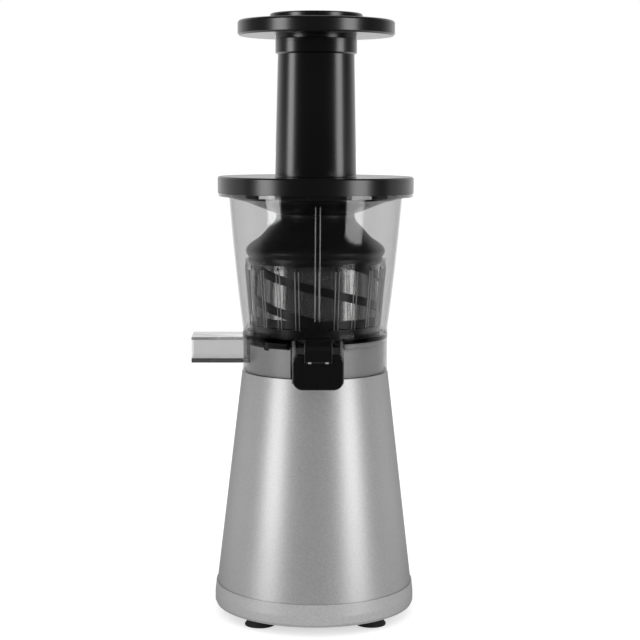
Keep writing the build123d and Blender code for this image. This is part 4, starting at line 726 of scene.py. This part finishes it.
def lip_mesh():
    """A low lip round the neck, open at spout, chute, plug and magnet."""
    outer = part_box("bowl_seat")[1].x
    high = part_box("pulp_plug")[1].z - BED_GAP
    section = (
        (outer, high - LIP_TALL), (outer, high - LIP_BEVEL), (outer - LIP_BEVEL, high),
        (outer - LIP_WALL, high), (outer - LIP_WALL, high - LIP_TALL))
    bm = bmesh.new()
    for start, end in LIP_ARCS:
        steps = int((end - start) / LIP_STEP)
        loops = []
        for step in range(steps + 1):
            turn = math.radians(start + (end - start) * step / steps)
            loops.append([
                bm.verts.new((radius * math.cos(turn), radius * math.sin(turn), height))
                for radius, height in section])
        for near, far in zip(loops, loops[1:]):
            for corner in range(len(section)):
                after = (corner + 1) % len(section)
                bm.faces.new((near[corner], far[corner], far[after], near[after]))
        bm.faces.new(loops[0])
        bm.faces.new(reversed(loops[-1]))
    bmesh.ops.recalc_face_normals(bm, faces=bm.faces)
    return bm_to_mesh("neck_lip", bm)


class FinishMotor(bpy.types.Operator):
    """Steel can, ferrite magnets, laminated core, copper windings and carbon brushes"""

    bl_idname = "juicer.motor"
    bl_label = "Motor"

    def execute(self, context):
        paint(motor_steel(), "motor_can")
        paint(inner_plastic(), "motor_end_bell", "cooling_fan", "gearbox_case", "gearbox_lid",
              "bowl_sensor", "switch_frame")
        paint(magnet_ferrite(), "motor_magnets", "interlock_magnet")
        paint(carbon(), "motor_brushes")
        paint(core_steel(), "rotor_core")
        paint(copper(), "rotor_windings", "commutator")
        return {"FINISHED"}


class FinishGears(bpy.types.Operator):
    """The gear train from the motor's pinion to the drive shaft"""

    bl_idname = "juicer.gears"
    bl_label = "Gear train"

    def execute(self, context):
        paint(gear_plastic(), "reduction_gear_a", "reduction_gear_b", "idler_gear")
        paint(gear_steel(), "output_gear")
        paint(bronze(), "drive_bushings")
        paint(ground_steel(), "rotor_shaft", "motor_pinion", "gear_arbors", "drive_shaft", "rocker_pin",
              "cap_hinge_pin", "idler_pin", "auger_socket")
        return {"FINISHED"}


class FinishSwitchAndBoard(bpy.types.Operator):
    """The mains rocker at the back and the circuit board behind the wall"""

    bl_idname = "juicer.switch_and_board"
    bl_label = "Switch and board"

    def execute(self, context):
        paint(rocker_plastic(), "power_rocker")
        paint(board_green(), "circuit_board")
        paint(components(), "board_components")
        return {"FINISHED"}


class FinishBowl(bpy.types.Operator):
    """The smoke-grey bowl with its chute, spout, plug and baffle"""

    bl_idname = "juicer.bowl"
    bl_label = "Bowl"

    def execute(self, context):
        paint(smoke_clear(), "bowl")
        paint(chute_clear(), "chute_and_spout")
        paint(silicone(), "pulp_plug", "spout_cap_seal", "wiper_blades")
        # pale cords along the rib and the spout's roof: painted highlights on their edges
        ridge_highlight = painted_ridge_highlight("painted_ridge_highlight", 0.36, 0.36)
        add_piece("front_rib_edges", rib_edges(), ridge_highlight, "bowl_unit")
        add_piece("spout_roof_edges", spout_edges(), ridge_highlight, "bowl_unit")
        # lighter black on the tab's edges and pips: painted highlights
        add_piece("cap_tab_edges", tab_edges(), tab_painted_glint("tab_edge", 12.0), "cap")
        add_piece("cap_tab_pips", tab_pips(), tab_painted_glint("tab_pip", 100.0), "cap")
        return {"FINISHED"}


def spout_edges():
    """Rounded edges down both sides of the spout's sloping roof."""
    front, top = -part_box("spout_cap_seal")[0].y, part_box("pulp_plug")[1].z
    return ridges("spout_roof_edges", [[
        Vector((side * SPOUT_HALF, -front + out, top + rise)) for out, rise in SPOUT_ROOF
    ] for side in (-1, 1)], SPOUT_EDGE_R)


def tab_edges():
    """Rounded edges of the cap's thumb tab."""
    low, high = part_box("spout_cap")
    left = [Vector((-TAB_HALF, low.y + TAB_EDGE_R + out, high.z - fall)) for out, fall in TAB_SIDE]
    right = [Vector((TAB_HALF, point.y, point.z)) for point in reversed(left)]
    return ridges("cap_tab_edges", [left + right], TAB_EDGE_R)


def tab_pips():
    """The two rounded pips under the thumb tab."""
    low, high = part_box("spout_cap")
    return ridges("cap_tab_pips", [[
        Vector((side * PIP_PLACE[0] + half, low.y + PIP_PLACE[1], high.z - PIP_PLACE[2]))
        for half in (-PIP_HALF, PIP_HALF)] for side in (-1, 1)], PIP_R, sides=10)


def rib_edges():
    """The two edges of the rib down the bowl's front, traced along the rib itself."""
    floor_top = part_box("idler_gear")[0].z
    rim_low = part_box("bowl")[1].z - FLANGE_TALL
    points = NODES["bowl"].data.vertices
    lines = []
    for side in (-1, 1):
        edge = {}
        for point in (point.co for point in points):
            on_rib = abs(point.x - side * RIB_HALF) < RIB_NEAR and point.y < 0
            if on_rib and floor_top + RIB_CLEAR < point.z < rim_low - RIB_NEAR:
                level = round(point.z, 5)
                edge[level] = min(edge.get(level, 0.0), point.y)
        lines.append([Vector((side * RIB_HALF, edge[level], level)) for level in sorted(edge)])
    return ridges("front_rib_edges", lines, RIDGE_R)


class FinishCage(bpy.types.Operator):
    """The clear cage that carries the wiper blades"""

    bl_idname = "juicer.cage"
    bl_label = "Wiper cage"

    def execute(self, context):
        paint(cage_clear(), "wiper_cage")
        # pale cords along the bars: painted highlights on their edges
        add_piece("cage_bar_edges", bar_edges(), painted_ridge_highlight("bar_painted_highlight", 0.62, 0.55), "cage")
        add_piece("cage_bar_heads", bar_heads(), satin_black(), "cage")
        return {"FINISHED"}


def bar_edges():
    """The two edges of each slim bar of the cage."""
    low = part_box("cage_ring_gear")[1].z
    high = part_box("wiper_cage")[1].z
    low_r = reach("wiper_cage", low - BAR_FOOT[0], low - BAR_FOOT[1])
    high_r = reach("wiper_cage", high - 0.0001, high)
    lines = []
    for bar in range(CAGE_BARS):
        turn = 2 * math.pi * (bar + 0.5) / CAGE_BARS
        for side in (-1, 1):
            lines.append([
                bar_point(turn, side * BAR_HALF, radius, height) for radius, height in (
                    (low_r + (high_r - low_r) * share, low + (high - CAGE_RING - low) * share)
                    for share in (0.0, 0.5, 1.0))])
    return ridges("cage_bar_edges", lines, RIDGE_R)


def bar_heads():
    """The dark round-ended slots at the head of each bar."""
    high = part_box("wiper_cage")[1].z
    low = high - CAGE_RING
    radius = reach("wiper_cage", low, high - CAGE_RING / 2)
    return ridges("cage_bar_heads", [[
        bar_point(2 * math.pi * (bar + 0.5) / CAGE_BARS, 0.0, radius - HEAD_R / 2, low + rise)
        for rise in HEAD_SPAN] for bar in range(CAGE_BARS)], HEAD_R)


def bar_point(turn, across, radius, height):
    return Vector((
        radius * math.cos(turn) - across * math.sin(turn),
        radius * math.sin(turn) + across * math.cos(turn), height))


class MakeStrainer(bpy.types.Operator):
    """The black strainer with its perforated steel screen"""

    bl_idname = "juicer.strainer"
    bl_label = "Strainer"

    def execute(self, context):
        satin = satin_black()
        paint(satin, "strainer_frame", "strainer_foot", "outlet_baffle", "auger_screw", "auger_gear",
              "cage_ring_gear")
        screen = add_piece("strainer_screen", screen_mesh(context.scene.juicer_screen), mesh_steel(),
                           "bowl_unit")
        thick = screen.modifiers.new("sheet", "SOLIDIFY")
        thick.thickness = context.scene.juicer_screen.sheet
        thick.offset = -1.0
        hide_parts("strainer_mesh")
        return {"FINISHED"}


def screen_mesh(sizes):
    """A drum of staggered round holes; every cell is a ring of eight faces round its hole."""
    low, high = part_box("strainer_mesh")
    radius = (high.x - low.x) / 2
    pitch_turn = 2 * math.pi / sizes.columns
    pitch_rise = (high.z - low.z) / sizes.rows
    hole = sizes.open_share * min(pitch_turn * radius, pitch_rise) / 2
    corners = [(1, 0), (1, 1), (0, 1), (-1, 1), (-1, 0), (-1, -1), (0, -1), (1, -1)]
    bm = bmesh.new()
    made = {}

    def corner(step_turn, step_rise):
        """The vertex at half-cell steps round and up, made once."""
        key = (step_turn % (2 * sizes.columns), step_rise)
        if key not in made:
            made[key] = bm.verts.new(on_drum(step_turn * pitch_turn / 2, low.z + step_rise * pitch_rise / 2))
        return made[key]

    def on_drum(turn, height):
        return (radius * math.cos(turn), radius * math.sin(turn), height)

    for row in range(sizes.rows):
        for column in range(sizes.columns):
            mid_turn = 2 * column + row % 2
            mid_rise = 2 * row + 1
            outer = [corner(mid_turn + x, mid_rise + z) for x, z in corners]
            inner = []
            for step in range(8):
                angle = step * math.pi / 4
                turn = mid_turn * pitch_turn / 2 + hole * math.cos(angle) / radius
                height = low.z + mid_rise * pitch_rise / 2 + hole * math.sin(angle)
                inner.append(bm.verts.new(on_drum(turn, height)))
            for step in range(8):
                after = (step + 1) % 8
                bm.faces.new((outer[step], outer[after], inner[after], inner[step]))
    return bm_to_mesh("strainer_screen", bm, smooth=False)


class FinishLid(bpy.types.Operator):
    """The black lid with its funnel and feed tube, and the pusher"""

    bl_idname = "juicer.lid"
    bl_label = "Lid and pusher"

    def execute(self, context):
        paint(gloss_black(), "lid_top", "feed_tube", "lid_funnel", "pusher_stem", "pusher_plate",
              "pusher_grip", "spout_cap")
        return {"FINISHED"}


# ---------------------------------------------------------------- stage


def strip_lamp(name, azimuth, low, high, width, light, lit):
    """A tall lamp whose face of that brightness points at the axis and lights the named pieces."""
    lamp = bpy.data.lights.new(name, "AREA")
    lamp.shape = "RECTANGLE"
    lamp.size = width
    lamp.size_y = high - low
    lamp.energy = light * math.pi * width * (high - low)
    holder = bpy.data.objects.new(name, lamp)
    bpy.context.scene.collection.objects.link(holder)
    side = math.radians(azimuth)
    middle = Vector((LAMP_REACH * math.sin(side), -LAMP_REACH * math.cos(side), (low + high) / 2))
    holder.location = middle
    holder.rotation_euler = (Vector((middle.x, middle.y, 0.0))).to_track_quat("Z", "Y").to_euler()
    receivers = bpy.data.collections.new(name + "_lights")
    for piece in lit:
        receivers.objects.link(piece)
    holder.light_linking.receiver_collection = receivers


class MakeStage(bpy.types.Operator):
    """Pale floor, white surroundings, strip lamps and the camera"""

    bl_idname = "juicer.stage"
    bl_label = "Stage"

    def execute(self, context):
        sizes = context.scene.juicer_stage
        self.make_world(context, sizes)
        self.make_floor()
        self.make_lamps(sizes)
        self.make_camera(context, sizes)
        context.scene.view_settings.view_transform = "Standard"
        context.scene.cycles.transparent_max_bounces = CLEAR_LAYERS
        return {"FINISHED"}

    def make_world(self, context, sizes):
        """White for the camera and through clear parts; in reflections dark on the camera's side."""
        context.scene.world = bpy.data.worlds.new("studio")
        room = Finish("studio", context.scene.world)
        path = room.node("ShaderNodeLightPath")
        toward = room.node("ShaderNodeTexCoord")["Generated"]
        axes = room.node("ShaderNodeSeparateXYZ", {}, {"Vector": toward})
        behind = ((axes["Y"] - ROOM_EDGE) / ROOM_FADE).most(0.0).least(1.0)
        mirrored = path["Is Glossy Ray"] * (ROOM_DARK + (1.0 - ROOM_DARK) * behind)
        white = (path["Is Camera Ray"] + path["Is Transmission Ray"] + mirrored).least(1.0)
        plain = path["Is Diffuse Ray"] * sizes.room_light
        room.close(room.node("ShaderNodeBackground", {}, {
            "Color": (1.0, 1.0, 1.0), "Strength": white + plain})["Background"],
            "ShaderNodeOutputWorld")

    def make_floor(self):
        """A pale round floor whose edge lies far out of view; in reflections its part on the camera's side
        is a painted dark reflection.
        """
        bm = bmesh.new()
        bmesh.ops.create_circle(bm, cap_ends=True, radius=FLOOR_REACH, segments=96)
        mesh = bm_to_mesh("floor", bm)
        floor = bpy.data.objects.new("floor", mesh)
        bpy.context.scene.collection.objects.link(floor)
        pale = Finish("pale_floor")
        path = pale.node("ShaderNodeLightPath")
        axes = pale.node("ShaderNodeSeparateXYZ", {}, {"Vector": pale.place()})
        front = (0.5 - axes["Y"] * 2.0).most(0.0).least(1.0)
        seen = (path["Is Camera Ray"] + path["Is Glossy Ray"] + path["Is Transmission Ray"]).least(1.0)
        lit = pale.skin(
            Base_Color=(0.80, 0.80, 0.80), Roughness=0.9, Specular_IOR_Level=0.1,
            Emission_Color=(1.0, 1.0, 1.0), Emission_Strength=seen * FLOOR_GLOW)
        # painted dark reflection: in glossy rays the floor in front turns dark
        painted_dark_reflection = pale.skin(Base_Color=(0.05, 0.05, 0.05), Roughness=0.9, Specular_IOR_Level=0.1)
        mesh.materials.append(pale.close(pale.mix(path["Is Glossy Ray"] * front, lit, painted_dark_reflection)))

    def make_lamps(self, sizes):
        """A pair of tall lamps for each storey of the juicer, flagged off from the other storeys."""
        named = {name: bpy.data.objects[name] for names in STOREYS.values() for name in names}
        others = [
            piece for piece in bpy.context.scene.objects
            if piece.type == "MESH" and piece.name not in named]
        for storey, side, azimuth, low, high, width, light in LAMPS:
            lit = [named[name] for name in STOREYS[storey]] if storey in STOREYS else others
            strip_lamp(f"lamp_{storey}_{side}", azimuth, low, high, width, light * sizes.lamp_light, lit)

    def make_camera(self, context, sizes):
        camera = bpy.data.objects.new("camera", bpy.data.cameras.new("camera"))
        context.scene.collection.objects.link(camera)
        camera.data.lens = sizes.lens
        camera.data.sensor_width = 36.0
        camera.location = (
            sizes.distance * math.sin(sizes.side), -sizes.distance * math.cos(sizes.side), sizes.height)
        turn = (
            Matrix.Rotation(sizes.side - sizes.aim, 4, "Z")
            @ Matrix.Rotation(math.pi / 2 - sizes.tilt, 4, "X")
            @ Matrix.Rotation(sizes.roll, 4, "Z"))
        camera.rotation_euler = turn.to_euler()
        context.scene.camera = camera


class JuicerPanel(bpy.types.Panel):
    bl_idname = "VIEW3D_PT_juicer"
    bl_label = "Cold press juicer"
    bl_space_type = "VIEW_3D"
    bl_region_type = "UI"
    bl_category = "Juicer"

    def draw(self, context):
        for name in GROUPS:
            group = getattr(context.scene, name)
            box = self.layout.box()
            for size in group.__annotations__:
                box.prop(group, size)
        for piece in PIECES:
            self.layout.operator(piece.bl_idname)


PIECES = (
    PaintMotorBase, FinishMotor, FinishGears, FinishSwitchAndBoard, FinishBowl, FinishCage,
    MakeStrainer, FinishLid, MakeStage,
)
GROUPS = {
    "juicer_finishes": JuicerFinishes,
    "juicer_screen": JuicerScreen,
    "juicer_stage": JuicerStage,
}


def register():
    for group in GROUPS.values():
        bpy.utils.register_class(group)
    for name, group in GROUPS.items():
        setattr(bpy.types.Scene, name, PointerProperty(type=group))
    for piece in PIECES:
        bpy.utils.register_class(piece)
    bpy.utils.register_class(JuicerPanel)


def unregister():
    bpy.utils.unregister_class(JuicerPanel)
    for piece in reversed(PIECES):
        bpy.utils.unregister_class(piece)
    for name, group in GROUPS.items():
        delattr(bpy.types.Scene, name)
        bpy.utils.unregister_class(group)


def call(piece):
    """Runs one operator through bpy.ops."""
    group, name = piece.bl_idname.split(".")
    getattr(getattr(bpy.ops, group), name)()


def main():
    register()
    for piece in PIECES:
        call(piece)


if __name__ == "__main__":
    main()
